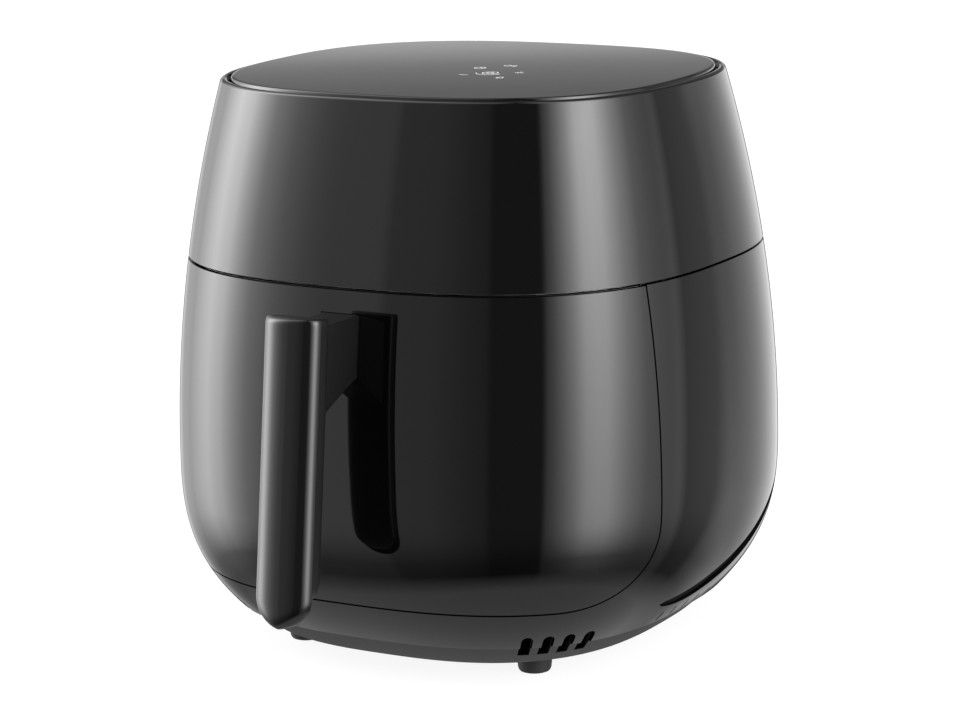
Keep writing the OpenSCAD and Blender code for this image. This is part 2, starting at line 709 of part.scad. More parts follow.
drawer_top = shell_top - 0.4;
module drawer_front() color("#1b1c1e") place() difference() {
    intersection() {
        body_wall(0, wall, sill_z - 4, drawer_top);
        along_x(far) drawer_side(drawer_gap, drawer_top + 1);
    }
    translate([-neck_w / 2 - slip, -far / 2, neck_low - slip])
        cube([neck_w + 2 * slip, far / 2, neck_h + 2 * slip]);
}

liner_in = drawer_gap + cover_t;
module drawer_liner() color("#131314") place() difference() {
    intersection() {
        body_core(wall + slip, sill_z - 4, drawer_top - 1);
        along_x(far) drawer_side(drawer_gap, drawer_top);
    }
    along_x(2 * far) drawer_side(liner_in, drawer_top - 1 - cover_t);
    translate([0, basket_mid + 20, basket_z - 1.2]) linear_extrude(far)
        polygon(round_rect(passage_w, basket_d + basket_flange + 22, basket_r + basket_flange + 2));
}

// One half of the handle: a bow across x, its flat face at y = 0; a small fullness is squarer
bow_n = 18;
front_full = 1;         // an ellipse in front
back_full = 0.2;        // nearly a rectangle behind
function bow(w, d, z, full) = [
    for (i = [0:bow_n]) let (t = 180 * i / bow_n)
        [-w / 2 * cos(t), -d * pow(max(0, sin(t)), full), z],
];
function stadium(w, d, len, full) = let (r = w / 2) concat(
    [for (a = [8, 20, 34, 50, 70, 90])
        bow(w * sin(a), d * (0.55 + 0.45 * sin(a)), -len + r - r * cos(a), full)],
    [bow(w, d, -len / 2, full), bow(w, d, -5, full)],
    [bow(w - 1, d - 1.6, -1.2, full), bow(w - 2.4, d - 3, 0, full)]);
module at_handle() translate([0, -handle_y, handle_top_z]) rotate([-handle_lean, 0, 0]) children();

module handle_front() color("#3a3d40") place() at_handle() difference() {
    skin(stadium(handle_w, handle_front_d, handle_len, front_full));
    translate([0, 0, -handle_len + handle_w / 2])
        linear_extrude(handle_len - handle_w / 2 - 6)
            polygon([for (p = bow(handle_w - 5, handle_front_d - 2.4, 0, front_full))
                [p[0], p[1] + 0.01]]);
}

part_line = 0.4;        // gap between the handle's two shells
tip = 9;                // how much longer the front shell is at the lower end
clear_r = 1.8;          // clearance holes of the drawer's screws
module handle_back() color("#101011") place() difference() {
    union() {
        at_handle() translate([0, part_line, 0]) mirror([0, 1, 0])
            skin(stadium(handle_w - 1, handle_back_d, handle_len - tip, back_full));
        along_x(neck_w) polygon([[-handle_y + 2.5, neck_top], [-neck_end_y, neck_top],
            [-neck_end_y, neck_low], [-neck_root - 1, neck_low],
            [-neck_root - 12, neck_low - 4], [-handle_y + 1.5, neck_low - 14]]);
    }
    at_handle_screws() translate([0, 0, -5]) cylinder(r = clear_r, h = 19);
}

module at_handle_screws() for (z = [8, neck_h - 8])
    translate([0, -neck_end_y, neck_top - z]) rotate([90, 0, 0]) children();
module handle_screws() color("silver") place()
    at_handle_screws() translate([0, 0, -2.05]) screw(14, 1.7, 3.4, 2.2);

bracket_leg = 28;       // half width between the bracket's legs
strip_t = 2;
module handle_bracket() color("#9a9da0") place() difference() {
    union() {
        translate([-bracket_leg, -neck_end_y + 0.02, neck_low])
            cube([2 * bracket_leg, strip_t, neck_h]);
        for (s = [0, 1]) mirror([s, 0, 0]) {
            translate([bracket_leg - strip_t, -neck_end_y + 0.02, neck_low])
                cube([strip_t, neck_end_y - basket_front - 1.4, neck_h]);
            translate([bracket_leg - strip_t, -basket_front - 3.38, neck_low])
                cube([14, strip_t, neck_h]);
        }
    }
    at_handle_screws() translate([0, 0, -5]) cylinder(r = clear_r, h = 10);
    at_basket_screws() cylinder(r = clear_r, h = 20, center = true);
}

module at_basket_screws() for (x = [-1, 1])
    translate([x * (bracket_leg + 6), -basket_front, neck_top - neck_h / 2])
        rotate([90, 0, 0]) children();
module basket_screws() color("silver") place()
    at_basket_screws() translate([0, 0, -4.5]) screw(9, 1.7, 3.2, 1.6);

// The basket leans in evenly on all four sides
function basket_in(z) = basket_draft * (basket_top - z) / (basket_top - basket_z);
function basket_loop(z, grow) = let (g = grow - basket_in(z))
    [for (p = round_rect(basket_w + g, basket_d + g, basket_r + grow)) [p[0], p[1] + basket_mid, z]];
module basket() color("#202122") place() difference() {
    skin([basket_loop(basket_z, -8), basket_loop(basket_z + 0.9, -4),
        basket_loop(basket_z + 5, 0), basket_loop(basket_top - 2, 0),
        basket_loop(basket_top - 2, basket_flange), basket_loop(basket_top, basket_flange),
        basket_loop(basket_top, -basket_t), basket_loop(basket_z + 6, -basket_t),
        basket_loop(basket_z + 1 + basket_t, -basket_t - 4),
        basket_loop(basket_z + basket_t, -basket_t - 8)]);
    at_basket_screws() cylinder(r = clear_r, h = 20, center = true);
}

// ---- Crisper plate ----

plate_z = basket_z + basket_t + plate_lift;
plate_in = basket_in(plate_z) + basket_t + plate_gap;
plate_w = basket_w - plate_in;
plate_d = basket_d - plate_in;
plate_r = basket_r - plate_gap;
plate_rim = 5;          // height of the plate's upturned edge
module crisper_plate() color("#26272a") place() translate([0, basket_mid, plate_z]) difference() {
    union() {
        linear_extrude(plate_t) polygon(round_rect(plate_w, plate_d, plate_r));
        difference() {
            linear_extrude(plate_t + plate_rim) polygon(round_rect(plate_w, plate_d, plate_r));
            translate([0, 0, -1]) linear_extrude(far)
                polygon(round_rect(plate_w - plate_t, plate_d - plate_t, plate_r - plate_t));
        }
    }
    for (x = [plate_pitch / 2:plate_pitch:plate_w - 14],
        y = [plate_pitch / 2:plate_pitch:plate_d - 14],
        sx = [-1, 1], sy = [-1, 1])
        if (norm([max(0, x - plate_w + plate_r), max(0, y - plate_d + plate_r)]) < plate_r - 8)
            translate([sx * x, sy * y, -1]) cylinder(d = plate_hole_d, h = plate_t + 2, $fn = 24);
}

module plate_bumpers() color("#7a1f1b") place() translate([0, basket_mid, 0])
    for (x = [-1, 1], y = [-1, 1])
        translate([x * (plate_w - 30), y * (plate_d - 30), plate_z - plate_lift + slip])
            cylinder(r = 4, h = plate_lift - slip);

upper_housing();
panel_gasket();
control_panel();
panel_carrier();
control_board();
display_module();
touch_springs();
upper_deck();
deck_screws();
heater_dome();
heating_element();
element_clips();
element_guard();
temperature_sensor();
thermal_cutout();
motor_bracket();
bracket_screws();
motor_stator();
motor_coil();
motor_bearings();
power_board();
lower_shell();
side_baffles();
front_bezel();
chamber_liner();
guide_rails();
exhaust_duct();
exhaust_grille();
cord_bushing();
drawer_sensor();
base_pan();
rubber_feet();
foot_screws();
motor_shaft();
motor_rotor();
cooling_fan();
convection_fan();
fan_nut();
drawer_front();
drawer_liner();
handle_front();
handle_back();
handle_bracket();
handle_screws();
basket();
basket_screws();
sensor_magnet();
crisper_plate();
plate_bumpers();
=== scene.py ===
# %% [markdown]
# # The looks of a basket air fryer
#
# The engineering model of this fryer is already finished. It knows every size, how the
# drawer slides, and where each screw goes, but its curved walls are made of few flat
# facets. Here Blender puts the looks on it. We keep every piece whose shape is right, and
# build the pieces that are seen most again with enough faces to carry a clean reflection.
#
# Everything is in metres, +Z is up, and the drawer opens towards -Y.

import json
import math

import bmesh
import bpy
import numpy as np
from mathutils import Matrix, Vector

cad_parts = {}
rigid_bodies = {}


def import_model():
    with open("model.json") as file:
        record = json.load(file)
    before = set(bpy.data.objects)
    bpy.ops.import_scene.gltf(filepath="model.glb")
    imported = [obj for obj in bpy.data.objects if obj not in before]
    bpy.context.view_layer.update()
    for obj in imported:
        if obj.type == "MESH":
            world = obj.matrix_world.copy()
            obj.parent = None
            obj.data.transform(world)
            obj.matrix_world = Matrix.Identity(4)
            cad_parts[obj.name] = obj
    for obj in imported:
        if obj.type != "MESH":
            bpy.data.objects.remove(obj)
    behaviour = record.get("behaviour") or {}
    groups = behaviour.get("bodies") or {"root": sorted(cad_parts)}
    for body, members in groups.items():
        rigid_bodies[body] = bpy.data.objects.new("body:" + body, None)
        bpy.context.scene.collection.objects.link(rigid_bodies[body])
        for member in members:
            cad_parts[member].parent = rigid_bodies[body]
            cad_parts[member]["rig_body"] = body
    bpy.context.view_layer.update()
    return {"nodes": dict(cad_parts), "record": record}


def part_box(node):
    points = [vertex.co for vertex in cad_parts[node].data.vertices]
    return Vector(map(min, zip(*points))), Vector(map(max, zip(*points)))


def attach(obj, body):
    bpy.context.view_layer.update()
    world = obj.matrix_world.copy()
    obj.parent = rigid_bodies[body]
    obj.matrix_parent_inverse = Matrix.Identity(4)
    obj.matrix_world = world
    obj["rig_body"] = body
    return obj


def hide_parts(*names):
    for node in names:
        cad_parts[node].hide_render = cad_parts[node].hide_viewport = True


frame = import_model()

# %% [markdown]
# ## The form of the body
#
# The body is a barrel. Seen from above, its outline is a superellipse: an ellipse whose
# exponent has been raised above 2, so that it gets fuller corners. From the side, it
# draws in a little towards the rim and a lot towards the floor. Two formulas for the half
# width and the half depth at a height describe all of it, and every shell uses them.

# %% Sizes of the body
MM = 0.001
AXIS_Y = sum(corner.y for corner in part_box("panel_gasket")) / 2
BODY_W = 300 * MM
BODY_H = 300 * MM
WIDEST_Z = 111 * MM
TOP_DRAW_IN = 23.5 * MM
FOOT_DRAW_IN = 55.7 * MM
FOOT_CURVE = 3.08
DEPTH_GAIN_LOW = 3.7 * MM
DEPTH_LOSS_TOP = 10.2 * MM
SQUARENESS = 2.65
WALL = 2.5 * MM


def half_width(z):
    """Half the body's width at height z, for one height or for an array of them."""
    above = np.maximum(z - WIDEST_Z, 0) / (BODY_H - WIDEST_Z)
    below = np.maximum(WIDEST_Z - z, 0) / WIDEST_Z
    return BODY_W / 2 - TOP_DRAW_IN * above**2 - FOOT_DRAW_IN * below**FOOT_CURVE


def half_depth(z):
    """Half the body's depth at height z."""
    lean = (DEPTH_GAIN_LOW + DEPTH_LOSS_TOP) * z / BODY_H
    return half_width(z) + DEPTH_GAIN_LOW - lean


def body_point(turn, inset, z):
    """A point on the body at a height, drawn in by inset; turn 0 is +X and a quarter is +Y."""
    across = abs(math.cos(turn)) / (half_width(z) - inset)
    deep = abs(math.sin(turn)) / (half_depth(z) - inset)
    reach = (across**SQUARENESS + deep**SQUARENESS) ** (-1 / SQUARENESS)
    return Vector((reach * math.cos(turn), AXIS_Y + reach * math.sin(turn), z))


print("at the rim the body is", round(2 * float(half_width(BODY_H)), 4), "wide")

# %% [markdown]
# ## Lofting
#
# A moulded shell is a closed outline that changes as it climbs. That is a loft: a ring of
# vertices is extruded again and again, and each new ring is put in its place. We start
# from Blender's own circle and number its vertices. The numbers ride along when a ring is
# extruded, so each vertex always knows how far round it is. A ring is then just a small
# function: it takes a turn and gives back the point that belongs there.

# %% A loft from rings
SPOKES = 240
WELD = 0.001 * MM


def loft(rings, spokes=SPOKES, ends="closed"):
    """A bmesh through rings, each a function from a turn in radians to a point."""
    mesh = bmesh.new()
    number = mesh.verts.layers.int.new("number")
    bmesh.ops.create_circle(mesh, segments=spokes, radius=1)
    mesh.verts.ensure_lookup_table()
    for index, vert in enumerate(mesh.verts):
        vert[number] = index
    verts = list(mesh.verts)
    edges = list(mesh.edges)
    first_edges = edges
    for count, ring in enumerate(rings):
        if count:
            made = bmesh.ops.extrude_edge_only(mesh, edges=edges)["geom"]
            verts = [part for part in made if isinstance(part, bmesh.types.BMVert)]
            edges = [part for part in made if isinstance(part, bmesh.types.BMEdge)]
            ring_edges = set(verts)
            edges = [e for e in edges if e.verts[0] in ring_edges and e.verts[1] in ring_edges]
        for vert in verts:
            vert.co = ring(math.tau * vert[number] / spokes)
    if ends == "closed":
        bmesh.ops.holes_fill(mesh, edges=first_edges, sides=0)
        bmesh.ops.holes_fill(mesh, edges=edges, sides=0)
    if ends == "joined":
        bmesh.ops.bridge_loops(mesh, edges=first_edges + edges)
    bmesh.ops.remove_doubles(mesh, verts=mesh.verts, dist=WELD)
    bmesh.ops.recalc_face_normals(mesh, faces=mesh.faces)
    return mesh


def body_ring(inset, z):
    """A ring of the body at a height, drawn in by inset."""
    return lambda turn: body_point(turn, inset, z)


def heights(start, end, step):
    """Evenly spaced heights from start up or down to end, both included."""
    return np.linspace(start, end, max(2, round(abs(end - start) / step) + 1))


def soft_corner(inset, z, run, rise, steps=4):
    """Rings round a quarter of an ellipse, from a wall at inset up or down on to a flat end."""
    quarter = [math.pi / 2 * step / steps for step in range(steps + 1)]
    return [(inset + run * (1 - math.cos(a)), z + rise * math.sin(a)) for a in quarter]


print("a ring of the body has", SPOKES, "vertices")

# %% [markdown]
# ## From mesh to piece
#
# A finished bmesh becomes an object at the origin. It rides on one of the moving bodies,
# stands for the coarse node it replaces, and gets smooth shading with sharp edges where
# two faces meet at a real edge. Holes and openings are cut with an exact boolean: the
# cutter is one mesh for all the openings of a shell.

# %% Pieces and cuts
SHARP = math.radians(32)


def piece(name, mesh, body, stands_for=()):
    """Makes the object for a bmesh, puts it on the body it rides on and hides the nodes it stands
    for.
    """
    data = bpy.data.meshes.new(name)
    mesh.to_mesh(data)
    mesh.free()
    made = bpy.data.objects.new(name, data)
    bpy.context.scene.collection.objects.link(made)
    shade(made)
    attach(made, body)
    if stands_for:
        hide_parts(*stands_for)
    print(name, "has", len(data.polygons), "faces")
    return made


def shade(made):
    """Smooth shading, apart from the edges that are really sharp."""
    made.data.polygons.foreach_set("use_smooth", [True] * len(made.data.polygons))
    made.data.set_sharp_from_angle(angle=SHARP)


def carve(made, cutter, operation="DIFFERENCE"):
    """Applies an exact boolean with the bmesh cutter."""
    data = bpy.data.meshes.new("cutter")
    cutter.to_mesh(data)
    cutter.free()
    tool = bpy.data.objects.new("cutter", data)
    bpy.context.scene.collection.objects.link(tool)
    step = made.modifiers.new("carve", "BOOLEAN")
    step.operation = operation
    step.solver = "EXACT"
    step.object = tool
    ready = made.evaluated_get(bpy.context.evaluated_depsgraph_get())
    result = bpy.data.meshes.new_from_object(ready)
    made.modifiers.clear()
    result.name = made.data.name
    made.data = result
    bpy.data.objects.remove(tool)
    shade(made)
    print(made.name, "has", len(result.polygons), "faces after the cut")


def bar(mesh, outline, start, end):
    """Adds a straight bar to a bmesh: a flat outline at start, extruded by end - start."""
    corners = [mesh.verts.new(point) for point in outline(start)]
    face = mesh.faces.new(corners)
    made = bmesh.ops.extrude_face_region(mesh, geom=[face])["geom"]
    moved = [part for part in made if isinstance(part, bmesh.types.BMVert)]
    shift = Vector(outline(end)[0]) - Vector(outline(start)[0])
    bmesh.ops.translate(mesh, verts=moved, vec=shift)
    bmesh.ops.recalc_face_normals(mesh, faces=mesh.faces)


def arc(centre, radius, start, end, steps):
    """Points on an arc in a plane, angles in degrees."""
    turns = [math.radians(start + (end - start) * i / steps) for i in range(steps + 1)]
    return [(centre[0] + radius * math.cos(t), centre[1] + radius * math.sin(t)) for t in turns]


def circle(centre, radius, sides=24):
    """Points round a full circle in a plane."""
    return arc(centre, radius, 0, 360 * (sides - 1) / sides, sides - 1)


def rectangle(x0, x1, z0, z1):
    """The corners of an upright rectangle."""
    return [(x0, z0), (x1, z0), (x1, z1), (x0, z1)]


def along_x(points):
    """An outline drawn in the plane of y and z, for a bar along X."""
    return lambda x: [(x, AXIS_Y + y, z) for y, z in points]


def along_y(points):
    """An outline drawn in the plane of x and z, for a bar along Y."""
    return lambda y: [(x, AXIS_Y + y, z) for x, z in points]


def along_z(points):
    """An outline drawn in the plane of x and y, for a bar along Z."""
    return lambda z: [(x, AXIS_Y + y, z) for x, y in points]


print("edges of more than", round(math.degrees(SHARP)), "degrees stay sharp")

# %% [markdown]
# Polished plastic shows every ripple of the mesh below it, because a reflection doubles
# each error in the surface's direction. The body has a formula, so we don't need to guess
# that direction from neighbouring faces: each corner on the outer surface gets the
# formula's own normal, which stays perfect beside the cuts as well.

# %% Exact normals for the outer surface
NEAR = 0.2 * MM
PROBE = 0.01 * MM
ALIGNED = 0.8  # cosine of the angle within which a face counts as facing outwards


def outside(points):
    """Below 0 inside the body, 0 on its surface and above 0 outside, for rows of points."""
    across = np.abs(points[:, 0]) / half_width(points[:, 2])
    deep = np.abs(points[:, 1] - AXIS_Y) / half_depth(points[:, 2])
    return across**SQUARENESS + deep**SQUARENESS - 1


def hug_body(made):
    """Gives each face corner on the outer surface the exact normal of the body."""
    mesh = made.data
    points = np.zeros(len(mesh.vertices) * 3)
    mesh.vertices.foreach_get("co", points)
    corners = np.zeros(len(mesh.loops), int)
    mesh.loops.foreach_get("vertex_index", corners)
    places = points.reshape(-1, 3)[corners]
    sizes = np.zeros(len(mesh.polygons), int)
    mesh.polygons.foreach_get("loop_total", sizes)
    facing = np.zeros(len(mesh.polygons) * 3)
    mesh.polygons.foreach_get("normal", facing)
    facing = np.repeat(facing.reshape(-1, 3), sizes, axis=0)
    normals = np.zeros(len(mesh.loops) * 3)
    mesh.corner_normals.foreach_get("vector", normals)
    normals = normals.reshape(-1, 3)
    steps = np.eye(3) * PROBE
    slope = [(outside(places + step) - outside(places - step)) / (2 * PROBE) for step in steps]
    slope = np.array(slope).T
    steepness = np.linalg.norm(slope, axis=1)
    exact = slope / steepness[:, None]
    on_surface = np.abs(outside(places)) / steepness < NEAR
    faces_out = (exact * facing).sum(axis=1) > ALIGNED
    chosen = on_surface & faces_out
    normals[chosen] = exact[chosen]
    mesh.normals_split_custom_set(normals)
    print(made.name, "follows the formula at", int(chosen.sum()), "corners")


print("a corner within", NEAR / MM, "mm of the outer surface gets the exact normal")

# %% [markdown]
# ## Materials
#
# A material is a small calculation. Blender draws it as a web of nodes, and we write it
# as Python: `Wire` wraps a node's output, so that `0.06 + 0.03 * smudges` adds the Math
# nodes by itself. `Paint` starts a material, and its one method `node` adds any other
# node from its type, its settings and its inputs.

# %% Node maths in plain Python
class Wire:
    """A node's output that can be used in sums."""

    def __init__(self, paint, socket):
        self.paint = paint
        self.socket = socket

    def join(self, operation, first, second):
        return self.paint.node("ShaderNodeMath", {"operation": operation}, {0: first, 1: second})

    def __add__(self, other):
        return self.join("ADD", self, other)

    def __radd__(self, other):
        return self.join("ADD", other, self)

    def __sub__(self, other):
        return self.join("SUBTRACT", self, other)

    def __rsub__(self, other):
        return self.join("SUBTRACT", other, self)

    def __mul__(self, other):
        return self.join("MULTIPLY", self, other)

    def __rmul__(self, other):
        return self.join("MULTIPLY", other, self)

    def __truediv__(self, other):
        return self.join("DIVIDE", self, other)

    def __pow__(self, other):
        return self.join("POWER", self, other)

    def above(self, limit):
        return self.join("GREATER_THAN", self, limit)


class Paint:
    """The nodes of one material, or of the world."""

    def __init__(self, owner):
        owner.use_nodes = True
        self.owner = owner
        self.tree = owner.node_tree

    def node(self, kind, settings=None, inputs=None, output=0):
        """Adds a node: settings first, a ramp's stops among them, then values or wires."""
        made = self.tree.nodes.new(kind)
        for name, value in (settings or {}).items():
            if name == "stops":
                self.set_stops(made.color_ramp, value)
            else:
                setattr(made, name, value)
        for name, value in (inputs or {}).items():
            self.put(made.inputs[name], value)
        return Wire(self, made.outputs[output])

    def put(self, socket, value):
        """Sets a socket to a number or colour, or links a wire to it."""
        if isinstance(value, Wire):
            self.tree.links.new(value.socket, socket)
        else:
            socket.default_value = value

    def set_stops(self, ramp, stops):
        """Gives a ramp its stops, each a place from 0 to 1 and a grey or a colour."""
        for count, (place, shade_of) in enumerate(stops):
            stop = ramp.elements[count] if count < 2 else ramp.elements.new(place)
            stop.position = place
            colour = shade_of if hasattr(shade_of, "__len__") else (shade_of,) * 3
            stop.color = (*colour, 1)

    def coordinates(self, stretch=(1, 1, 1)):
        """The piece's own coordinates, stretched along its axes."""
        place = self.node("ShaderNodeTexCoord", output="Object")
        return self.node("ShaderNodeMapping", None, {"Vector": place, "Scale": stretch})

    def noise(self, scale, detail=2.0, stretch=(1, 1, 1), roughness=0.5):
        """Cloudy noise from 0 to 1; scale is in waves per metre."""
        inputs = {"Vector": self.coordinates(stretch), "Scale": scale, "Detail": detail}
        inputs["Roughness"] = roughness
        return self.node("ShaderNodeTexNoise", None, inputs)

    def blend(self, share, first, second):
        """A colour from first to second."""
        inputs = {0: share, 6: (*first, 1), 7: (*second, 1)}
        return self.node("ShaderNodeMix", {"data_type": "RGBA"}, inputs, output=2)

    def bump(self, height, depth):
        """A normal from a height pattern whose full range is depth metres."""
        return self.node("ShaderNodeBump", None, {"Height": height, "Distance": depth})


def finish_material(name, constants, maps):
    """A principled material: constants and maps both go by the shader's socket names."""
    paint = Paint(bpy.data.materials.new(name))
    shader = paint.tree.nodes["Principled BSDF"]
    for socket, value in constants.items():
        shader.inputs[socket].default_value = value
    for socket, wire in maps(paint).items():
        paint.put(shader.inputs[socket], wire)
    print("finish", name, "has", len(paint.tree.nodes), "nodes")
    return paint.owner


print("node maths ready")

# %% [markdown]
# ### Plastics
#
# Polished ABS comes out of a mirror-finish mould. It is almost black, its gloss is a
# plain dielectric reflection, and it isn't perfect: there is a very shallow ripple, a few
# millimetres long, and handling leaves patches that are a little less sharp. The inner
# covers come from a mould with a fine spark-eroded grain, so they look matte.

# %% Plastic finishes
def polished_plastic(name, colour, gloss=0.02, ripple=0.002 * MM):
    """Near-black plastic with a mirror finish and faint handling marks."""

    def maps(paint):
        smudges = paint.noise(14, detail=4)
        wave = paint.noise(160, detail=1)
        tint = paint.noise(30)
        lighter = tuple(1.25 * c for c in colour)
        return {
            "Base Color": paint.blend(tint, colour, lighter),
            "Roughness": gloss + 0.03 * smudges,
            "Normal": paint.bump(wave, ripple),
        }

    return finish_material(name, {"IOR": 1.5}, maps)


def grained_plastic(name, colour, roughness=0.42, grain=2600):
    """Matte moulded plastic with a fine grain."""

    def maps(paint):
        fine = paint.noise(grain, detail=3)
        cloud = paint.noise(45)
        lighter = tuple(1.5 * c for c in colour)
        return {
            "Base Color": paint.blend(cloud, colour, lighter),
            "Roughness": roughness + 0.16 * fine,
            "Normal": paint.bump(fine, 0.03 * MM),
        }

    return finish_material(name, {"IOR": 1.48}, maps)


def soft_rubber(name, colour):
    """Rubber: dark, dull, with a bloom of dust."""

    def maps(paint):
        bloom = paint.noise(220, detail=5)
        dusty = tuple(c + 0.01 for c in colour)
        return {
            "Base Color": paint.blend(bloom**3, colour, dusty),
            "Roughness": 0.6 + 0.25 * bloom,
            "Normal": paint.bump(paint.noise(3000), 0.02 * MM),
        }

    return finish_material(name, {"IOR": 1.5}, maps)


housing_black = polished_plastic("housing_black", (0.0011, 0.0011, 0.0012))
drawer_black = polished_plastic("drawer_black", (0.0011, 0.0011, 0.0012))
handle_satin = polished_plastic("handle_satin", (0.0020, 0.0021, 0.0023), gloss=0.10)
covers_matte = grained_plastic("covers_matte", (0.0035, 0.0035, 0.0037))
spine_matte = grained_plastic("spine_matte", (0.0030, 0.0030, 0.0032), 0.3)
fan_nylon = grained_plastic("fan_nylon", (0.03, 0.03, 0.033), 0.5, 900)
black_rubber = soft_rubber("black_rubber", (0.005, 0.005, 0.005))
grey_silicone = soft_rubber("grey_silicone", (0.045, 0.045, 0.047))

# %% [markdown]
# ### Glass
#
# The top is tempered glass printed black on its underside. Seen from above, all that
# reaches the eye is the reflection of the room in a very flat surface, and the light grey
# marks of the touch keys. Real glass ripples far less than plastic, so its bump is tiny.

# %% Glass and printed marks
def printed_glass(name):
    """Black printed glass with dust and the faintest ripple."""

    def maps(paint):
        dust = paint.noise(1800, detail=6).above(0.72)
        haze = paint.noise(9, detail=3)
        return {
            "Base Color": paint.blend(dust, (0.0015, 0.0015, 0.0017), (0.02, 0.02, 0.02)),
            "Roughness": 0.02 + 0.02 * haze + 0.1 * dust,
            "Normal": paint.bump(paint.noise(20), 0.002 * MM),
        }

    return finish_material(name, {"IOR": 1.52}, maps)


def printed_marks(name):
    """Light grey ceramic ink, a little uneven."""

    def maps(paint):
        patch = paint.noise(900, detail=3)
        return {
            "Base Color": paint.blend(patch, (0.62, 0.63, 0.64), (0.76, 0.77, 0.78)),
            "Roughness": 0.35 + 0.2 * patch,
        }

    return finish_material(name, {"IOR": 1.5}, maps)


panel_black = printed_glass("panel_black")
key_marks = printed_marks("key_marks")

# %% [markdown]
# ### Metals
#
# Sheet steel is rolled, so its surface has long fine lines in one direction. Zinc plating
# adds a soft crystal pattern, called spangle. The heating element's sheath has been
# glowing hot, which leaves it brown and dull. Small hardware is turned or stamped.

# %% Metal finishes
def rolled_steel(name, colour, roughness=0.3, spangle=0.0, stretch=(40, 900, 900)):
    """Sheet metal with rolling lines and, if plated, a spangle."""

    def maps(paint):
        lines = paint.noise(1, detail=4, stretch=stretch)
        inputs = {"Vector": paint.coordinates(), "Scale": 160.0}
        cells = paint.node("ShaderNodeTexVoronoi", None, inputs)
        shaded = tuple(0.72 * c for c in colour)
        return {
            "Base Color": paint.blend(0.8 * lines + spangle * cells, colour, shaded),
            "Roughness": roughness + 0.18 * lines + 0.2 * spangle * cells,
            "Normal": paint.bump(lines, 0.01 * MM),
        }

    return finish_material(name, {"Metallic": 1.0}, maps)


def heat_tinted_sheath(name):
    """A steel tube browned by heat, in uneven patches."""

    def maps(paint):
        patches = paint.noise(60, detail=5)
        grit = paint.noise(1500)
        return {
            "Base Color": paint.blend(patches, (0.05, 0.045, 0.05), (0.20, 0.15, 0.11)),
            "Roughness": 0.38 + 0.2 * grit,
            "Normal": paint.bump(grit, 0.02 * MM),
        }

    return finish_material(name, {"Metallic": 0.8}, maps)


def stacked_laminations(name):
    """Punched sheets stacked along Z: fine dark lines between them."""

    def maps(paint):
        inputs = {"Vector": paint.coordinates((0, 0, 1)), "Scale": 320.0, "Distortion": 0.3}
        sheets = paint.node("ShaderNodeTexWave", {"bands_direction": "Z"}, inputs, output="Fac")
        rust = paint.noise(80, detail=4) ** 3
        return {
            "Base Color": paint.blend(rust, (0.23, 0.24, 0.26), (0.20, 0.12, 0.08)),
            "Roughness": 0.35 + 0.3 * sheets,
            "Normal": paint.bump(sheets, 0.08 * MM),
        }

    return finish_material(name, {"Metallic": 0.9}, maps)


zinc_steel = rolled_steel("zinc_steel", (0.52, 0.53, 0.54), 0.34, spangle=0.5)
aluminised_steel = rolled_steel("aluminised_steel", (0.60, 0.61, 0.62), 0.3, spangle=0.2)
bright_steel = rolled_steel("bright_steel", (0.62, 0.62, 0.63), 0.2, stretch=(300, 300, 300))
fan_aluminium = rolled_steel("fan_aluminium", (0.70, 0.70, 0.71), 0.28, stretch=(500, 500, 60))
element_sheath = heat_tinted_sheath("element_sheath")
motor_laminations = stacked_laminations("motor_laminations")

# %% [markdown]
# ### Everything else
#
# Circuit boards are green because of the lacquer over their copper, and the copper lines
# under it stand a few hundredths of a millimetre high. The motor's coil is a tight spool
# of lacquered wire. The basket and its plate have a dark non-stick coating: sprayed,
# baked, slightly pebbled, with a scatter of lighter flakes.

# %% Boards, winding, ceramic and non-stick coating
def lacquered_board(name):
    """Green lacquer over copper lines."""

    def maps(paint):
        inputs = {"Vector": paint.coordinates(), "Scale": 90.0, "Mortar Size": 0.07}
        lines = paint.node("ShaderNodeTexBrick", None, inputs, output="Fac")
        return {
            "Base Color": paint.blend(lines, (0.012, 0.10, 0.035), (0.03, 0.20, 0.07)),
            "Roughness": 0.3 + 0.15 * paint.noise(400),
            "Normal": paint.bump(lines, 0.05 * MM),
        }

    return finish_material(name, {"IOR": 1.5}, maps)


def wound_wire(name):
    """A spool of lacquered copper wire."""

    def maps(paint):
        inputs = {"Vector": paint.coordinates(), "Scale": 380.0, "Distortion": 0.6}
        turns = paint.node("ShaderNodeTexWave", {"bands_direction": "X"}, inputs, output="Fac")
        return {
            "Base Color": paint.blend(turns, (0.22, 0.06, 0.02), (0.62, 0.24, 0.09)),
            "Roughness": 0.25 + 0.2 * paint.noise(300),
            "Normal": paint.bump(turns, 0.25 * MM),
        }

    return finish_material(name, {"Metallic": 0.6}, maps)


def fired_ceramic(name):
    """Off-white ceramic with a fine speckle."""

    def maps(paint):
        speckle = paint.noise(1200, detail=4)
        return {
            "Base Color": paint.blend(speckle, (0.80, 0.78, 0.71), (0.66, 0.63, 0.56)),
            "Roughness": 0.5 + 0.2 * speckle,
            "Normal": paint.bump(speckle, 0.02 * MM),
        }

    return finish_material(name, {"IOR": 1.55}, maps)


def nonstick_coating(name):
    """A dark baked coating, slightly pebbled, with lighter flakes."""

    def maps(paint):
        pebble = paint.noise(1400, detail=2)
        flakes = paint.noise(2600, detail=1).above(0.69)
        return {
            "Base Color": paint.blend(flakes, (0.017, 0.017, 0.018), (0.075, 0.075, 0.078)),
            "Roughness": 0.34 + 0.16 * pebble,
            "Normal": paint.bump(pebble, 0.03 * MM),
        }

    return finish_material(name, {"IOR": 1.45, "Coat Roughness": 0.3}, maps)


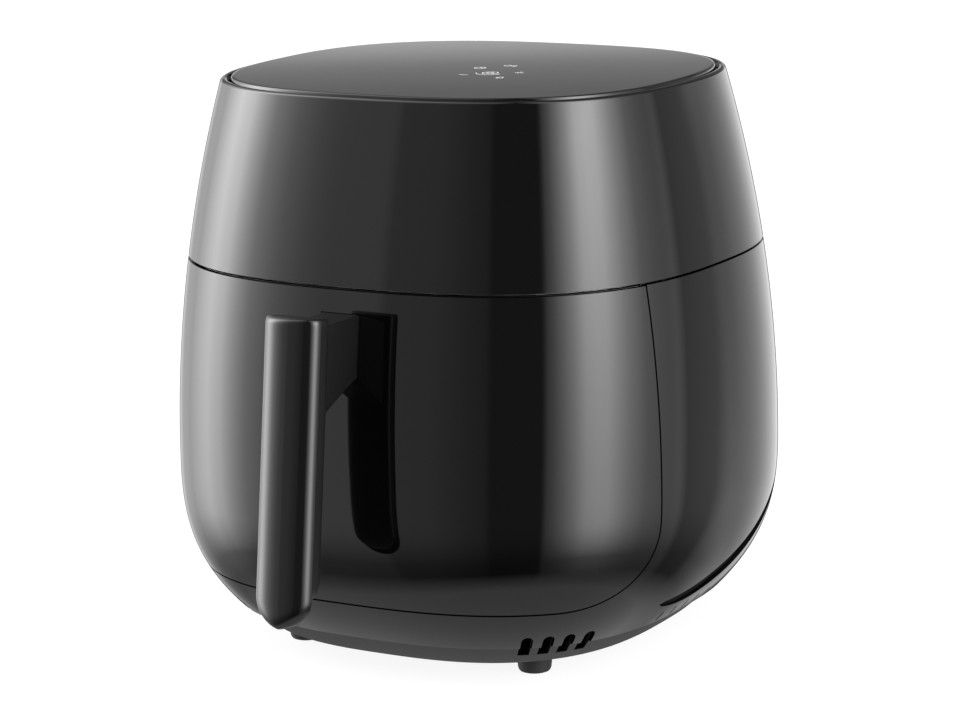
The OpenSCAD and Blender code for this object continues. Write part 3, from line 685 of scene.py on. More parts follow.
green_board = lacquered_board("green_board")
copper_winding = wound_wire("copper_winding")
white_ceramic = fired_ceramic("white_ceramic")
dark_nonstick = nonstick_coating("dark_nonstick")
print(len(bpy.data.materials), "materials made")

# %% [markdown]
# ## The head
#
# The upper housing is one moulding: an outer wall, a rolled rim round the glass, and a
# ledge below that carries the glass on a gasket. Its section is drawn as a list of insets
# and heights, walked once round: up the outside, over the rim, down to the ledge and back
# down the inside. The rim's rounding is small, but it is what draws the thin bright line
# round the top of the real thing.

# %% Head shell
GLASS_T = 3.5 * MM
GASKET_T = 1.2 * MM
GLASS_PROUD = 1.2 * MM
HEAD_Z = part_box("upper_housing")[0].z
LEDGE_TOP = BODY_H + GLASS_PROUD - GLASS_T - GASKET_T
LEDGE_W = 12 * MM
LEDGE_T = 2.5 * MM
RIM_W = 3.2 * MM
EDGE = 0.5 * MM
RING_STEP = 3 * MM


def outer_wall(low, high, step=RING_STEP):
    """Sections of the outer wall, from low up to high."""
    return [(0, z) for z in heights(low, high, step)]


def inner_wall(low, high, inset=WALL):
    """Sections of the inner wall, from high down to low, where few rings will do."""
    return [(inset, z) for z in heights(high, low, 8 * MM)]


head_section = [
    (EDGE, HEAD_Z),
    (0.15 * EDGE, HEAD_Z + 0.5 * EDGE),
    *outer_wall(HEAD_Z + EDGE, BODY_H - 2.4 * MM),
    *soft_corner(0, BODY_H - 2 * MM, 1.4 * MM, 2 * MM, steps=5),
    (RIM_W - 0.9 * MM, BODY_H),
    (RIM_W - 0.3 * MM, BODY_H - 0.2 * MM),
    (RIM_W, BODY_H - 0.8 * MM),
    (RIM_W, LEDGE_TOP),
    (LEDGE_W, LEDGE_TOP),
    (LEDGE_W, LEDGE_TOP - LEDGE_T),
    (WALL + 3 * MM, LEDGE_TOP - 6 * MM),
    *inner_wall(HEAD_Z, BODY_H - 16 * MM),
]
rings = [body_ring(inset, z) for inset, z in head_section]
head = piece("head_shell", loft(rings, ends="joined"), "housing",
             ["upper_housing"])
head.data.materials.append(housing_black)
hug_body(head)

# %% [markdown]
# ## The glass
#
# The glass is a plate with the same outline as the rim, ground round along its top edge.
# Its keys are printed marks. A mark is modelled as a skin a few hundredths of a
# millimetre thick that lies on the glass, so the glass is set that much lower.
# One more ring lies flat just inside the rounded edge. It holds the shading of the big
# flat face level; without it the reflections would bend all the way to the middle.

# %% Glass panel
MARK_T = 0.05 * MM
GLASS_INSET = 4.8 * MM
GLASS_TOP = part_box("control_panel")[1].z - MARK_T
GLASS_LOW = LEDGE_TOP + GASKET_T
glass_section = [
    (GLASS_INSET + 0.3 * MM, GLASS_LOW),
    (GLASS_INSET, GLASS_LOW + 0.3 * MM),
    *soft_corner(GLASS_INSET, GLASS_TOP - 0.8 * MM, 0.8 * MM, 0.8 * MM, steps=5),
    (GLASS_INSET + 1.6 * MM, GLASS_TOP),
]
glass = piece("glass_panel",
              loft([body_ring(inset, z) for inset, z in glass_section]),
              "housing", ["control_panel"])
glass.data.materials.append(panel_black)

# %% [markdown]
# ## The lower body
#
# The lower shell runs all the way round, but its front is open for the drawer. It also
# has the openings that let the fryer breathe: slots in the lower corners, a crescent
# and a row of narrow slots in each side, and a window for the exhaust at the back. The
# shell is lofted whole, and one cutter removes all of these at once.

# %% Openings of the lower shell
SHELL_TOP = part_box("upper_deck")[0].z
SHELL_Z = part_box("lower_shell")[0].z
SPLIT_Y = 68.5 * MM
SILL_Z = 44 * MM
DRAWER_R = 42 * MM
DRAWER_GAP = 1 * MM
CORE = 50 * MM  # cutters for one side stop this far from the axis
BACK = 100 * MM
FAR = 300 * MM  # well outside the body
CRESCENT_Y = -30 * MM
CRESCENT_Z = 190 * MM
CRESCENT_R = 155 * MM
CRESCENT_SWELL = 5 * MM
CRESCENT_START = -97
CRESCENT_SWEEP = 55
CRESCENT_STEPS = 40
TIP_GAP = 0.01 * MM  # keeps the two arcs apart where they meet
GRILLE_LOW = 118 * MM
GRILLE_HIGH = 178 * MM
GRILLE_X = 50 * MM
VENT_W = 6 * MM
VENT_PITCH = math.radians(4.6)
VENT_TOP = SHELL_Z + 8 * MM
VENT_LOW = SHELL_Z - 6 * MM


def drawer_outline(inset, top):
    """The drawer front from the side: straight back edge, rounded lower corner."""
    centre = (-SPLIT_Y - DRAWER_R, SILL_Z + DRAWER_R)
    corner = arc(centre, DRAWER_R - inset, -90, 0, 24)
    return [(-FAR, SILL_Z + inset), *corner, (-SPLIT_Y - inset, top), (-FAR, top)]


def crescent_outline():
    """The intake in the side: an arc that swells from both tips to its middle."""
    outer = []
    inner = []
    for step in range(CRESCENT_STEPS + 1):
        share = step / CRESCENT_STEPS
        turn = math.radians(CRESCENT_START + CRESCENT_SWEEP * share)
        width = CRESCENT_SWELL * math.sqrt(max(0, math.sin(math.pi * share)))
        for edge, reach in ((outer, CRESCENT_R + width + TIP_GAP), (inner, CRESCENT_R - width)):
            y = CRESCENT_Y + reach * math.cos(turn)
            z = CRESCENT_Z + reach * math.sin(turn)
            edge.append((y, z))
    return outer + inner[::-1]


def add_corner_vents(mesh):
    """Upright slots with round tops in the four lower corners."""
    start = float(half_width(VENT_LOW)) - 3 * MM
    half = VENT_W / 2
    top = arc((0, VENT_TOP - half), half, 0, 180, 12)
    outline = [(-half, VENT_LOW), (half, VENT_LOW), *top]
    for corner in range(4):
        for slot in (-1.5, -0.5, 0.5, 1.5):
            turn = math.radians(45 + 90 * corner) + slot * VENT_PITCH
            out = Vector((math.cos(turn), math.sin(turn), 0))
            side = Vector((-math.sin(turn), math.cos(turn), 0))

            def at(reach, out=out, side=side):
                origin = Vector((0, AXIS_Y, 0)) + reach * out
                return [origin + across * side + Vector((0, 0, z)) for across, z in outline]

            bar(mesh, at, start, FAR)


print("a crescent is drawn with", len(crescent_outline()), "points")

# %% Lower shell
FLANGE_W = 7.4 * MM
SLOTS = 6
SLOT_FIRST = -36 * MM
SLOT_PITCH = 13 * MM
SLOT_W = 1.6 * MM
SLOT_H = 5 * MM
SLOT_LOW = SHELL_Z + 1.5 * MM
BUSHING_R = 8.6 * MM
lower_section = [
    (EDGE, SHELL_Z),
    (0.15 * EDGE, SHELL_Z + 0.5 * EDGE),
    *outer_wall(SHELL_Z + EDGE, SHELL_TOP - EDGE),
    (0.15 * EDGE, SHELL_TOP - 0.5 * EDGE),
    (EDGE, SHELL_TOP),
    (FLANGE_W, SHELL_TOP),
    (FLANGE_W, SHELL_TOP - 2.5 * MM),
    *inner_wall(SHELL_Z, SHELL_TOP - 6 * MM),
]
lower = piece("lower_body",
              loft([body_ring(inset, z) for inset, z in lower_section], ends="joined"),
              "housing", ["lower_shell"])
openings = bmesh.new()
bar(openings, along_x(drawer_outline(0, BODY_H)), -FAR, FAR)
add_corner_vents(openings)
for side in (-1, 1):
    bar(openings, along_x(crescent_outline()), side * FAR, side * CORE)
    for slot in range(SLOTS):
        start = SLOT_FIRST + SLOT_PITCH * slot - SLOT_W / 2
        slit = rectangle(start, start + SLOT_W, SLOT_LOW, SLOT_LOW + SLOT_H)
        bar(openings, along_x(slit), side * FAR, side * CORE)
window = rectangle(-GRILLE_X, GRILLE_X, GRILLE_LOW, GRILLE_HIGH)
bar(openings, along_y(window), BACK, FAR)
bushing_low, bushing_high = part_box("cord_bushing")
bushing_z = (bushing_low.z + bushing_high.z) / 2
bar(openings, along_y(circle((0, bushing_z), BUSHING_R, 48)), BACK, FAR)
carve(lower, openings)
lower.data.materials.append(housing_black)
hug_body(lower)

# %% [markdown]
# ## The drawer front
#
# The drawer front is cut from the same barrel, one millimetre smaller all round, so that
# an even dark seam is left. A boolean intersection of the wall with a bar of the drawer's
# side outline gives just that. The handle's neck passes through a square hole in it.

# %% Drawer front
DRAWER_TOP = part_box("drawer_front")[1].z
NECK_W = 22 * MM
NECK_H = 32 * MM
NECK_TOP = 195 * MM
SLIP = 0.3 * MM
BLANK_LOW = SILL_Z - 6 * MM
drawer_section = [
    (0, BLANK_LOW),
    *outer_wall(BLANK_LOW + 2 * MM, DRAWER_TOP - EDGE),
    (0.15 * EDGE, DRAWER_TOP - 0.5 * EDGE),
    (EDGE, DRAWER_TOP),
    *inner_wall(BLANK_LOW, DRAWER_TOP),
]
drawer = piece("drawer_panel",
               loft([body_ring(inset, z) for inset, z in drawer_section], ends="joined"),
               "drawer", ["drawer_front"])
blank = bmesh.new()
bar(blank, along_x(drawer_outline(DRAWER_GAP, BODY_H)), -FAR, FAR)
carve(drawer, blank, "INTERSECT")
hole = bmesh.new()
neck_side = NECK_W / 2 + SLIP
passage = rectangle(-neck_side, neck_side, NECK_TOP - NECK_H - SLIP, NECK_TOP + SLIP)
bar(hole, along_y(passage), -FAR, -CORE)
carve(drawer, hole)
drawer.data.materials.append(drawer_black)
hug_body(drawer)

# %% [markdown]
# ## The handle
#
# The handle is two shells that meet on a flat face: a satin face in front and a matte
# spine behind. Each is a bow in section, like a D, and its lower end runs out in a half
# disc. We loft it in its own upright space and then lean it into place, exactly as it
# would be drawn on paper.

# %% Handle shells
HANDLE_W = 31.5 * MM
HANDLE_FRONT_D = 9 * MM
HANDLE_BACK_D = 10 * MM
HANDLE_Y = 182.3 * MM
HANDLE_TOP = 201 * MM
HANDLE_LOW = 48.5 * MM
HANDLE_LEAN = math.radians(7.2)
HANDLE_TIP = 9 * MM
PART_LINE = 0.4 * MM
FRONT_FULL = 1
BACK_FULL = 0.2
HANDLE_LEN = (HANDLE_TOP - HANDLE_LOW) / math.cos(HANDLE_LEAN)
lean = Matrix.Translation((0, AXIS_Y - HANDLE_Y, HANDLE_TOP)) @ Matrix.Rotation(
    -HANDLE_LEAN, 4, "X")
BOW_SHARE = 0.85
TIP_START = 6
TIP_DEPTH = 0.55
TOP_ROUND = 3.2 * MM
TOP_NARROW = 2.4 * MM
TOP_THIN = 3 * MM


def bow_ring(width, depth, z, facing, full):
    """A D-shaped ring in the handle's own space; a small fullness makes it squarer."""

    def place(turn):
        share = turn / math.tau / BOW_SHARE
        if share > 1:
            along = (turn / math.tau - BOW_SHARE) / (1 - BOW_SHARE)
            return lean @ Vector((facing * width * (along - 0.5), 0, z))
        t = math.pi * share
        bulge = depth * max(0, math.sin(t)) ** full
        return lean @ Vector((facing * width / 2 * math.cos(t), facing * bulge, z))

    return place


def handle_shell(width, depth, length, facing, full):
    """A lofted half handle, flat top, rounded lower end."""
    radius = width / 2
    rings = []
    for step in range(13):
        a = math.radians(TIP_START + (90 - TIP_START) * step / 12)
        narrow = width * math.sin(a)
        thin = depth * (TIP_DEPTH + (1 - TIP_DEPTH) * math.sin(a))
        rings.append(bow_ring(narrow, thin, -length + radius * (1 - math.cos(a)), facing, full))
    for z in heights(-length + radius, -5 * MM, 8 * MM)[1:]:
        rings.append(bow_ring(width, depth, z, facing, full))
    for step in range(7):
        a = math.radians(90 * step / 6)
        inward = 1 - math.cos(a)
        sides = (width - TOP_NARROW * inward, depth - TOP_THIN * inward)
        rings.append(bow_ring(*sides, -TOP_ROUND * (1 - math.sin(a)), facing, full))
    flat = (width - TOP_NARROW - 1.2 * MM, depth - TOP_THIN - 0.8 * MM)
    rings.append(bow_ring(*flat, 0, facing, full))
    return loft(rings, spokes=96)


face = piece("handle_face",
             handle_shell(HANDLE_W, HANDLE_FRONT_D, HANDLE_LEN, -1, FRONT_FULL),
             "drawer", ["handle_front"])
face.data.materials.append(handle_satin)
spine_mesh = handle_shell(HANDLE_W - 1 * MM, HANDLE_BACK_D, HANDLE_LEN - HANDLE_TIP, 1,
                          BACK_FULL)
backwards = lean.to_3x3() @ Vector((0, PART_LINE, 0))
bmesh.ops.translate(spine_mesh, verts=spine_mesh.verts, vec=backwards)
spine = piece("handle_spine", spine_mesh, "drawer", ["handle_back"])

# %% [markdown]
# The neck joins the spine to the drawer. It is a bar with its long edges rounded by a
# bevel, added to the spine with a boolean union so that the two become one moulding.

# %% Handle neck
NECK_IN = 11 * MM
NECK_ROUND = 1.2 * MM
neck_low = NECK_TOP - NECK_H
neck_end = float(half_depth(NECK_TOP)) - WALL - NECK_IN
neck_root = float(half_depth(neck_low))
neck_outline = [
    (-HANDLE_Y + 2.5 * MM, NECK_TOP),
    (-neck_end, NECK_TOP),
    (-neck_end, neck_low),
    (-neck_root - 1 * MM, neck_low),
    (-neck_root - 12 * MM, neck_low - 4 * MM),
    (-HANDLE_Y + 1.5 * MM, neck_low - 14 * MM),
]
neck = bmesh.new()
bar(neck, along_x(neck_outline), -NECK_W / 2, NECK_W / 2)
behind_face = AXIS_Y - HANDLE_Y + 3 * MM
long_edges = [edge for edge in neck.edges
              if abs(edge.verts[0].co.x - edge.verts[1].co.x) < MM
              and max(vert.co.y for vert in edge.verts) > behind_face]
bmesh.ops.bevel(neck, geom=long_edges, offset=NECK_ROUND, offset_type="OFFSET", segments=4,
                profile=0.5, affect="EDGES", material=-1, clamp_overlap=True)
carve(spine, neck, "UNION")
spine.data.materials.append(spine_matte)

# %% [markdown]
# ## Base, feet and rear grille
#
# The base is a shallow tray of matte plastic, set in a little from the shell above it, so
# that the body seems to float on a dark line. The vent slots run on down into it. Each
# foot is a turned shape, and turning in Blender is a spin: a profile goes once round an
# upright axis.

# %% Base tray
FOOT_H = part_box("rubber_feet")[1].z
BASE_INSET = 2.2 * MM
SCREW_R = 2 * MM
INTAKES = 12
INTAKE_R = 4 * MM
INTAKE_RING = 38 * MM
TRAY_CUT = 40 * MM
tray_section = [
    (7.5 * MM, FOOT_H),
    (5.5 * MM, FOOT_H),
    (4.2 * MM, FOOT_H + 0.35 * MM),
    (3.2 * MM, FOOT_H + 1 * MM),
    (2.5 * MM, FOOT_H + 2.1 * MM),
    (BASE_INSET, FOOT_H + 3.5 * MM),
    (BASE_INSET, SHELL_Z - 4.5 * MM),
    (BASE_INSET, SHELL_Z - 0.4 * MM),
    (WALL + 1 * MM, SHELL_Z - 0.4 * MM),
    (WALL + 1 * MM, SHELL_Z + 8 * MM),
    (WALL + 3 * MM, SHELL_Z + 8 * MM),
    (WALL + 3.2 * MM, SHELL_Z),
    (WALL + 3.4 * MM, FOOT_H + 6 * MM),
    (WALL + 4 * MM, FOOT_H + 2.5 * MM),
    (WALL + 6 * MM, FOOT_H + 2.5 * MM),
]
tray = piece("base_tray", loft([body_ring(inset, z) for inset, z in tray_section]),
             "housing", ["base_pan"])
FOOT_X = 69.5 * MM
FOOT_Y = 72.2 * MM
feet_at = [(x, y) for x in (-FOOT_X, FOOT_X) for y in (-FOOT_Y, FOOT_Y)]
vents = bmesh.new()
add_corner_vents(vents)
for x, y in feet_at:
    bar(vents, along_z(circle((x, y), SCREW_R)), 0, TRAY_CUT)
for index in range(INTAKES):
    turn = math.tau * index / INTAKES
    middle = (INTAKE_RING * math.cos(turn), INTAKE_RING * math.sin(turn))
    bar(vents, along_z(circle(middle, INTAKE_R)), 0, TRAY_CUT)
carve(tray, vents)
tray.data.materials.append(covers_matte)

# %% Feet
FOOT_R = 9.4 * MM
foot_profile = [
    (2.1 * MM, 4.5 * MM),
    (4.2 * MM, 4.5 * MM),
    (4.2 * MM, 0.3 * MM),
    (4.5 * MM, 0),
    (FOOT_R - 2.6 * MM, 0),
    (FOOT_R - 1.7 * MM, 0.35 * MM),
    (FOOT_R - 1.1 * MM, 1.1 * MM),
    (FOOT_R - 0.7 * MM, 2.2 * MM),
    (FOOT_R, FOOT_H),
    (2.1 * MM, FOOT_H),
]
feet = bmesh.new()
for x, y in feet_at:
    middle = Vector((x, AXIS_Y + y, 0))
    corners = [feet.verts.new(middle + Vector((r, 0, z))) for r, z in foot_profile]
    sides = [feet.edges.new(pair) for pair in zip(corners, corners[1:] + corners[:1])]
    bmesh.ops.spin(feet, geom=corners + sides, cent=middle, axis=(0, 0, 1), angle=math.tau,
                   steps=72, use_merge=True, use_duplicate=False)
bmesh.ops.remove_doubles(feet, verts=feet.verts, dist=WELD)
bmesh.ops.recalc_face_normals(feet, faces=feet.faces)
foot_set = piece("foot_set", feet, "housing", ["rubber_feet"])
foot_set.data.materials.append(black_rubber)

# %% Rear grille
GRILLE_INSET = 0.6 * MM
GRILLE_EDGE = 6 * MM
SLAT_GAP = 4 * MM
SLAT_PITCH = 9 * MM
SLAT_GAPS = 6
blank_low = GRILLE_LOW - 10 * MM
blank_high = GRILLE_HIGH + 10 * MM
grille_section = [(GRILLE_INSET, z) for z in heights(blank_low, blank_high, 4 * MM)]
grille_section += inner_wall(blank_low, blank_high, GRILLE_INSET + WALL)
grille = piece("rear_grille",
               loft([body_ring(inset, z) for inset, z in grille_section], ends="joined"),
               "housing", ["exhaust_grille"])
outline = rectangle(-GRILLE_X + SLIP, GRILLE_X - SLIP, GRILLE_LOW + SLIP, GRILLE_HIGH - SLIP)
keep = bmesh.new()
bar(keep, along_y(outline), CORE, FAR)
carve(grille, keep, "INTERSECT")
slats = bmesh.new()
gap_x = GRILLE_X - GRILLE_EDGE
for index in range(SLAT_GAPS):
    gap_z = GRILLE_LOW + 7 * MM + index * SLAT_PITCH
    gap = rectangle(-gap_x, gap_x, gap_z, gap_z + SLAT_GAP)
    bar(slats, along_y(gap), CORE, FAR)
carve(grille, slats)
grille.data.materials.append(covers_matte)

# %% [markdown]
# ## The basket
#
# The basket is deep-drawn from one sheet. Its sides lean in towards the floor, its
# corners are generous so that the metal could flow, and its rim is folded out into a
# flange that runs on the rails. All of that is again one loft, this time of a rounded
# rectangle.

# %% Basket
basket_low, basket_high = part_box("basket")
BASKET_TOP = basket_high.z
BASKET_Z = basket_low.z
BASKET_T = 1.5 * MM
FLANGE = 5.5 * MM
DRAFT = 9 * MM
BASKET_R = 30 * MM
RIVET_R = 1.8 * MM
RIVET_HEAD_R = 3.2 * MM
FRONT_WALL = (-120 * MM, -90 * MM)
basket_middle = (basket_low + basket_high) / 2
BASKET_W = (basket_high.x - basket_low.x) / 2 - FLANGE
BASKET_D = (basket_high.y - basket_low.y) / 2 - FLANGE


def rounded_ring(grow, z, centre, sides, radius):
    """A rounded rectangle, evenly walked: a quarter turn is one corner and half of two sides."""

    def place(turn):
        quarter = int(turn / (math.pi / 2) + 1e-9) % 4
        share = (turn - quarter * math.pi / 2) / (math.pi / 2)
        half = (sides[0] + grow, sides[1] + grow)
        r = max(radius + grow, 1 * MM)
        signs = ((1, 1), (-1, 1), (-1, -1), (1, -1))[quarter]
        a = quarter * math.pi / 2 + min(1, max(0, (share - 0.1) / 0.8)) * math.pi / 2
        x = signs[0] * (half[0] - r) + r * math.cos(a)
        y = signs[1] * (half[1] - r) + r * math.sin(a)
        return Vector((centre.x + x, centre.y + y, z))

    return place


def basket_ring(grow, z):
    """A ring of the basket; its sides lean in towards the floor."""
    lean_in = DRAFT * (BASKET_TOP - z) / (BASKET_TOP - BASKET_Z)
    return rounded_ring(grow, z, basket_middle, (BASKET_W - lean_in, BASKET_D - lean_in), BASKET_R)


basket_section = [
    (-10 * MM, BASKET_Z),
    (-8 * MM, BASKET_Z),
    (-5.5 * MM, BASKET_Z + 0.25 * MM),
    (-3 * MM, BASKET_Z + 1.2 * MM),
    (-1.1 * MM, BASKET_Z + 2.8 * MM),
    (0, BASKET_Z + 5 * MM),
    *[(0, z) for z in heights(BASKET_Z + 12 * MM, BASKET_TOP - 2 * MM, 12 * MM)],
    (0.4 * MM, BASKET_TOP - 1.6 * MM),
    (FLANGE - 0.4 * MM, BASKET_TOP - 1.6 * MM),
    (FLANGE, BASKET_TOP - 1.2 * MM),
    (FLANGE, BASKET_TOP - 0.4 * MM),
    (FLANGE - 0.5 * MM, BASKET_TOP),
    (-BASKET_T + 1.6 * MM, BASKET_TOP),
    (-BASKET_T + 0.5 * MM, BASKET_TOP - 0.4 * MM),
    (-BASKET_T, BASKET_TOP - 1.5 * MM),
    *[(-BASKET_T, z) for z in heights(BASKET_TOP - 12 * MM, BASKET_Z + 14 * MM, 12 * MM)],
    (-BASKET_T, BASKET_Z + 6 * MM),
    (-BASKET_T - 1.2 * MM, BASKET_Z + 3.9 * MM),
    (-BASKET_T - 3.2 * MM, BASKET_Z + 2.3 * MM),
    (-BASKET_T - 5.4 * MM, BASKET_Z + 1.7 * MM),
    (-BASKET_T - 8 * MM, BASKET_Z + BASKET_T),
    (-BASKET_T - 10 * MM, BASKET_Z + BASKET_T),
]
basket = piece("drawn_basket",
               loft([basket_ring(grow, z) for grow, z in basket_section], spokes=160),
               "drawer", ["basket"])
rivets_low, rivets_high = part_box("basket_screws")
rivet_z = (rivets_low.z + rivets_high.z) / 2
holes = bmesh.new()
for x in (rivets_low.x + RIVET_HEAD_R, rivets_high.x - RIVET_HEAD_R):
    bar(holes, along_y(circle((x, rivet_z), RIVET_R)), *FRONT_WALL)
carve(basket, holes)
basket.data.materials.append(dark_nonstick)

# %% [markdown]
# ## Printed keys
#
# The marks are plain signs that anyone can read: a ring for power, a drop, a fish, a
# clock and plus and minus. Each is built from strokes. A stroke is a thin bar laid on the
# glass, and a ring is a circle extruded and drawn in.

# %% Key marks
STROKE = 0.6 * MM
marks = bmesh.new()


def stroke(path):
    """A printed line through points on the panel, in millimetres from the body axis."""
    points = [Vector((x * MM, AXIS_Y + y * MM, GLASS_TOP)) for x, y in path]
    for start, end in zip(points, points[1:]):
        side = (end - start).cross(Vector((0, 0, 1))).normalized() * STROKE / 2
        corners = [start - side, start + side, end + side, end - side]
        face_of = marks.faces.new([marks.verts.new(corner) for corner in corners])
        made = bmesh.ops.extrude_face_region(marks, geom=[face_of])["geom"]
        top = [part for part in made if isinstance(part, bmesh.types.BMVert)]
        bmesh.ops.translate(marks, verts=top, vec=(0, 0, MARK_T))


def ring_mark(x, y, radius, start=0, end=360, steps=40):
    """A printed circle or part of one."""
    stroke([(x + radius * math.cos(math.radians(start + (end - start) * i / steps)),
             y + radius * math.sin(math.radians(start + (end - start) * i / steps)))
            for i in range(steps + 1)])


def outline_mark(x, y, size, points):
    """A printed outline from points in units of its size."""
    stroke([(x + size * px, y + size * py) for px, py in points])


ring_mark(19, -16, 4.2)
ring_mark(19, -16, 1.7, 120, 420)
outline_mark(19, -16, 1, [(0, 0.6), (0, 2.6)])
outline_mark(9, -27, 2.6, [(-1, 0), (1, 0)])
outline_mark(33, -10, 2.6, [(-1, 0), (1, 0)])
outline_mark(33, -10, 2.6, [(0, -1), (0, 1)])
ring_mark(4, 0, 2.9)
outline_mark(4, 0, 2.9, [(0, 0.6), (0, 0), (0.5, 0)])
drop = [(0, 1), (0.6, 0), (0.45, -0.6), (0, -0.8), (-0.45, -0.6), (-0.6, 0), (0, 1)]
outline_mark(33, -31, 3, drop)
fish_back = [(-1.2, 0), (-1, 0.5), (-0.4, 0.6), (0.3, 0.1), (1, 0.6)]
fish_belly = [(1, -0.6), (0.3, -0.1), (-0.4, -0.6), (-1, -0.5), (-1.2, 0)]
outline_mark(15, 13, 3, fish_back + fish_belly)
ring_mark(19, -16, 7.4, 200, 340, 24)
bmesh.ops.recalc_face_normals(marks, faces=marks.faces)
keys = piece("key_marks", marks, "housing")
keys.data.materials.append(key_marks)

# %% [markdown]
# ## Pieces that stay
#
# Everything else keeps its engineering shape. Most of it shows only when the drawer is
# pulled out: the passage, the rails, the plate, and far inside the fan and its element.
# The record groups these nodes into slots by finish, so one table pairs each slot with
# its material.

# %% Finishes of the kept nodes
finishes = {
    "matte_black": covers_matte,
    "rubber": black_rubber,
    "silicone": grey_silicone,
    "circuit_board": green_board,
    "zinc_steel": zinc_steel,
    "aluminised_steel": aluminised_steel,
    "element_sheath": element_sheath,
    "bright_steel": bright_steel,
    "laminated_steel": motor_laminations,
    "copper_winding": copper_winding,
    "ceramic": white_ceramic,
    "fan_plastic": fan_nylon,
    "fan_aluminium": fan_aluminium,
    "nonstick": dark_nonstick,
}
slot_of = {row["node"]: row["material_slot"] for row in frame["record"]["subparts"]}
print(len(finishes), "finishes are ready for the slots of", len(slot_of), "nodes")

# %% [markdown]
# A node's mesh is loose triangles, which is fine for flat sheet metal. Round things such
# as the fan, the wires of the guard and the screws would show their facets, so those are
# copied, their doubled vertices merged, and the copy is shaded smooth.

# %% Smooth copies of the round nodes
ROUND_NODES = [
    "heater_dome", "heating_element", "element_guard", "temperature_sensor", "thermal_cutout",
    "motor_rotor", "motor_shaft", "motor_bearings", "cooling_fan", "convection_fan", "fan_nut",
    "chamber_liner", "drawer_liner", "front_bezel", "side_baffles", "cord_bushing",
    "sensor_magnet", "touch_springs", "deck_screws", "bracket_screws", "foot_screws",
    "handle_screws", "basket_screws", "plate_bumpers", "crisper_plate", "panel_gasket",
]
for name in ROUND_NODES:
    copy = bmesh.new()
    copy.from_mesh(frame["nodes"][name].data)
    bmesh.ops.remove_doubles(copy, verts=copy.verts, dist=WELD)
    smooth = piece("smooth_" + name, copy, frame["nodes"][name]["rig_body"], [name])
    smooth.data.materials.clear()
    smooth.data.materials.append(finishes[slot_of[name]])

# %% Materials of the nodes that stay
kept = [name for name, node in frame["nodes"].items() if not node.hide_render]
for name in kept:
    node = frame["nodes"][name]
    node.data.materials.clear()
    node.data.materials.append(finishes[slot_of[name]])
print(len(kept), "nodes keep their engineering shape:", ", ".join(kept))

# %% [markdown]
# ## Studio
#
# Black gloss has almost no colour of its own. What we see on it is the studio: two tall
# soft boxes, one on either side, black cards in front that leave the middle dark, and a
# pale wall behind. Each is wide and even, so the world can paint it: a ramp runs once
# round the horizon and says how bright the studio is in each direction, and a second ramp
# dims it towards the ceiling. Light from it also falls on the floor, which makes the soft
# shadow at the feet.

# %% World
CARDS = [
    (-180, 1.5), (-167, 1.4), (-162, 0.12), (-140, 0.12), (-134, 1.1), (-120, 1.1), (-60, 0.9),
    (-33, 0.8), (-26.5, 0.77), (-24, 0.52), (-10, 0.48), (4, 0.32), (13, 0.25), (16, 0.13),
    (43, 0.13), (46, 0.6), (60, 0.8), (118, 0.9), (130, 0.95), (135, 0.45), (150, 0.43),
    (156, 0.85), (173, 1.4), (180, 1.5),
]
SOFT_BOXES = [
    (-122, 0), (-106, 1.5), (-97, 3.8), (-84, 8.3), (-73, 8.3), (-64, 5.0), (-57, 2.6), (-46, 1.0),
    (-38, 0.3), (-33, 0), (45, 0), (50, 0.7), (56, 2.2), (62, 4.2), (70, 8.0), (77, 9.0),
    (84, 8.7), (91, 6.2), (98, 3.8), (109, 1.2), (118, 0.4), (125, 0),
]
PEAK = 10.0
CARD_FADE = [(-0.7, 0.15), (-0.5, 0.35), (-0.32, 0.9), (-0.25, 1.0)]
BOX_FADE = [
    (-0.7, 0), (-0.5, 0.07), (-0.3, 0.42), (-0.05, 0.62), (0.34, 1.0), (0.6, 0.8), (0.9, 0.2),
]
FLOOR_SHARE = [(-0.9, 1), (-0.75, 1), (-0.6, 0)]
FLOOR_GLOW = 0.75
BACK_SIDE = [(-180, 1), (-132, 1), (-122, 0), (148, 0), (158, 1)]
BACK_SHARE = [(0.04, 0), (0.09, 1)]
BACK_GLOW = [(0.0, 0.75), (0.115, 0.84), (0.12, 0.74), (0.1245, 0.38), (0.127, 0.23), (1, 0.2)]
world = bpy.data.worlds.new("studio")
bpy.context.scene.world = world
sky = Paint(world)
split = {"Vector": sky.node("ShaderNodeTexCoord", output="Generated")}
east, north, up = (sky.node("ShaderNodeSeparateXYZ", None, split, output=axis) for axis in "XYZ")
azimuth = east.join("ARCTAN2", east, -1 * north) / math.tau + 0.5


def horizon_ramp(stops, peak=1.0):
    """Brightness by direction round the horizon, in degrees from -Y, + towards +X."""
    places = [((degrees + 180) / 360, value / peak) for degrees, value in stops]
    return peak * sky.node("ShaderNodeValToRGB", {"stops": places}, {"Fac": azimuth}, "Color")


def height_ramp(stops):
    """A share by height: -1 straight down, 0 the horizon and 1 straight up."""
    places = [(0.5 * height + 0.5, value) for height, value in stops]
    return sky.node("ShaderNodeValToRGB", {"stops": places}, {"Fac": 0.5 * up + 0.5}, "Color")


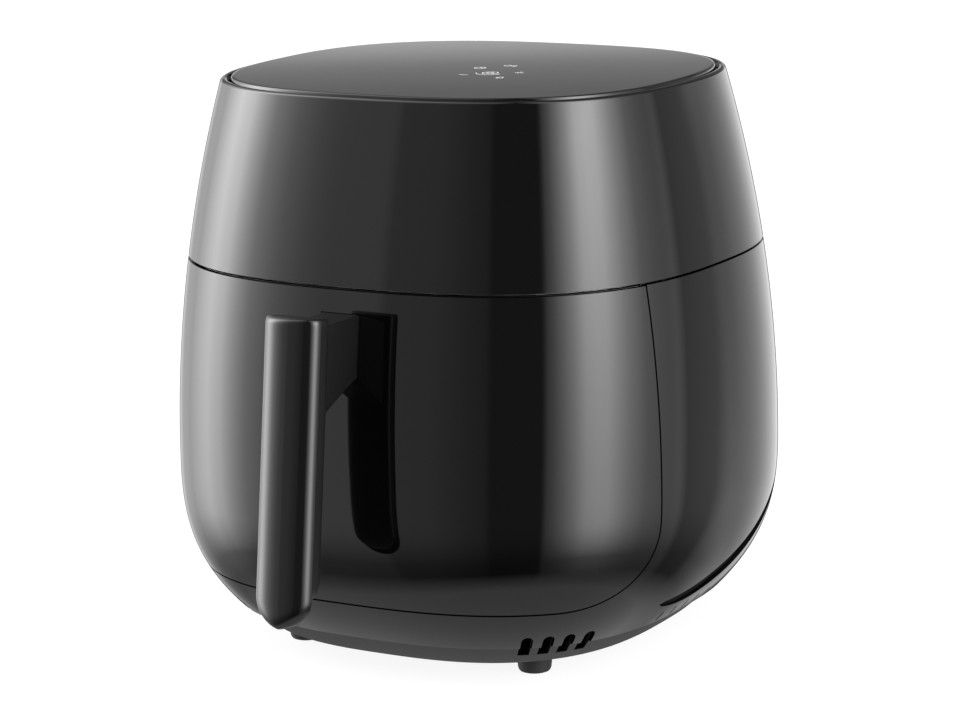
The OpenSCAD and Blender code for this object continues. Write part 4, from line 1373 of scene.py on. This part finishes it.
studio = horizon_ramp(CARDS, PEAK) * height_ramp(CARD_FADE)
studio = studio + horizon_ramp(SOFT_BOXES, PEAK) * height_ramp(BOX_FADE)
behind = horizon_ramp(BACK_SIDE) * height_ramp(BACK_SHARE)
studio = studio * (1 - behind) + height_ramp(BACK_GLOW) * behind
below = height_ramp(FLOOR_SHARE)
studio = studio * (1 - below) + FLOOR_GLOW * below
seen = sky.node("ShaderNodeLightPath", output="Is Camera Ray")
background = sky.tree.nodes["Background"]
background.inputs["Color"].default_value = (1, 1, 1, 1)
sky.put(background.inputs["Strength"], studio * (1 - seen) + seen)
bpy.context.scene.view_settings.view_transform = "Standard"
print("the studio is painted with", len(sky.tree.nodes), "nodes")

# %% Floor
FLOOR_SIZE = 12.0
plane = bmesh.new()
bmesh.ops.create_grid(plane, x_segments=8, y_segments=8, size=FLOOR_SIZE / 2)
floor_mesh = bpy.data.meshes.new("floor")
plane.to_mesh(floor_mesh)
plane.free()
floor = bpy.data.objects.new("floor", floor_mesh)
bpy.context.scene.collection.objects.link(floor)
floor.visible_glossy = False


def paper(paint):
    """White paper, very slightly uneven."""
    fibre = paint.noise(60, detail=4)
    return {
        "Base Color": paint.blend(fibre, (0.14, 0.14, 0.14), (0.16, 0.16, 0.16)),
        "Roughness": 0.8 + 0.1 * fibre,
    }


PAPER = {
    "Specular IOR Level": 0.0,
    "Emission Color": (1.0, 1.0, 1.0, 1.0),
    "Emission Strength": 0.9,
}
floor.data.materials.append(finish_material("white_paper", PAPER, paper))
print("the floor is", FLOOR_SIZE, "metres square")

# %% [markdown]
# ## Camera
#
# The camera stands a little to the right of the drawer and above the rim, about 1.8
# metres off, with a long lens, so that the verticals stay almost parallel.

# %% Camera
VIEW_TURN = math.radians(29.55)
VIEW_PITCH = math.radians(12.1)
VIEW_ROLL = math.radians(-1.26)
VIEW_FROM = Vector((0.8899, AXIS_Y - 1.5697, 0.5305))
lens = bpy.data.cameras.new("camera")
lens.lens = 129.1
lens.sensor_width = 36
lens.clip_start = 0.05
lens.clip_end = 60
camera = bpy.data.objects.new("camera", lens)
bpy.context.scene.collection.objects.link(camera)
back = Vector((math.sin(VIEW_TURN) * math.cos(VIEW_PITCH),
               -math.cos(VIEW_TURN) * math.cos(VIEW_PITCH), math.sin(VIEW_PITCH)))
right = Vector((math.cos(VIEW_TURN), math.sin(VIEW_TURN), 0))
upward = back.cross(right)
rolled_right = right * math.cos(VIEW_ROLL) + upward * math.sin(VIEW_ROLL)
rolled_up = upward * math.cos(VIEW_ROLL) - right * math.sin(VIEW_ROLL)
turned = Matrix((rolled_right, rolled_up, back)).transposed()
camera.matrix_world = Matrix.Translation(VIEW_FROM) @ turned.to_4x4()
bpy.context.scene.camera = camera
print("the camera stands", round(VIEW_FROM.length, 2), "metres from the fryer")
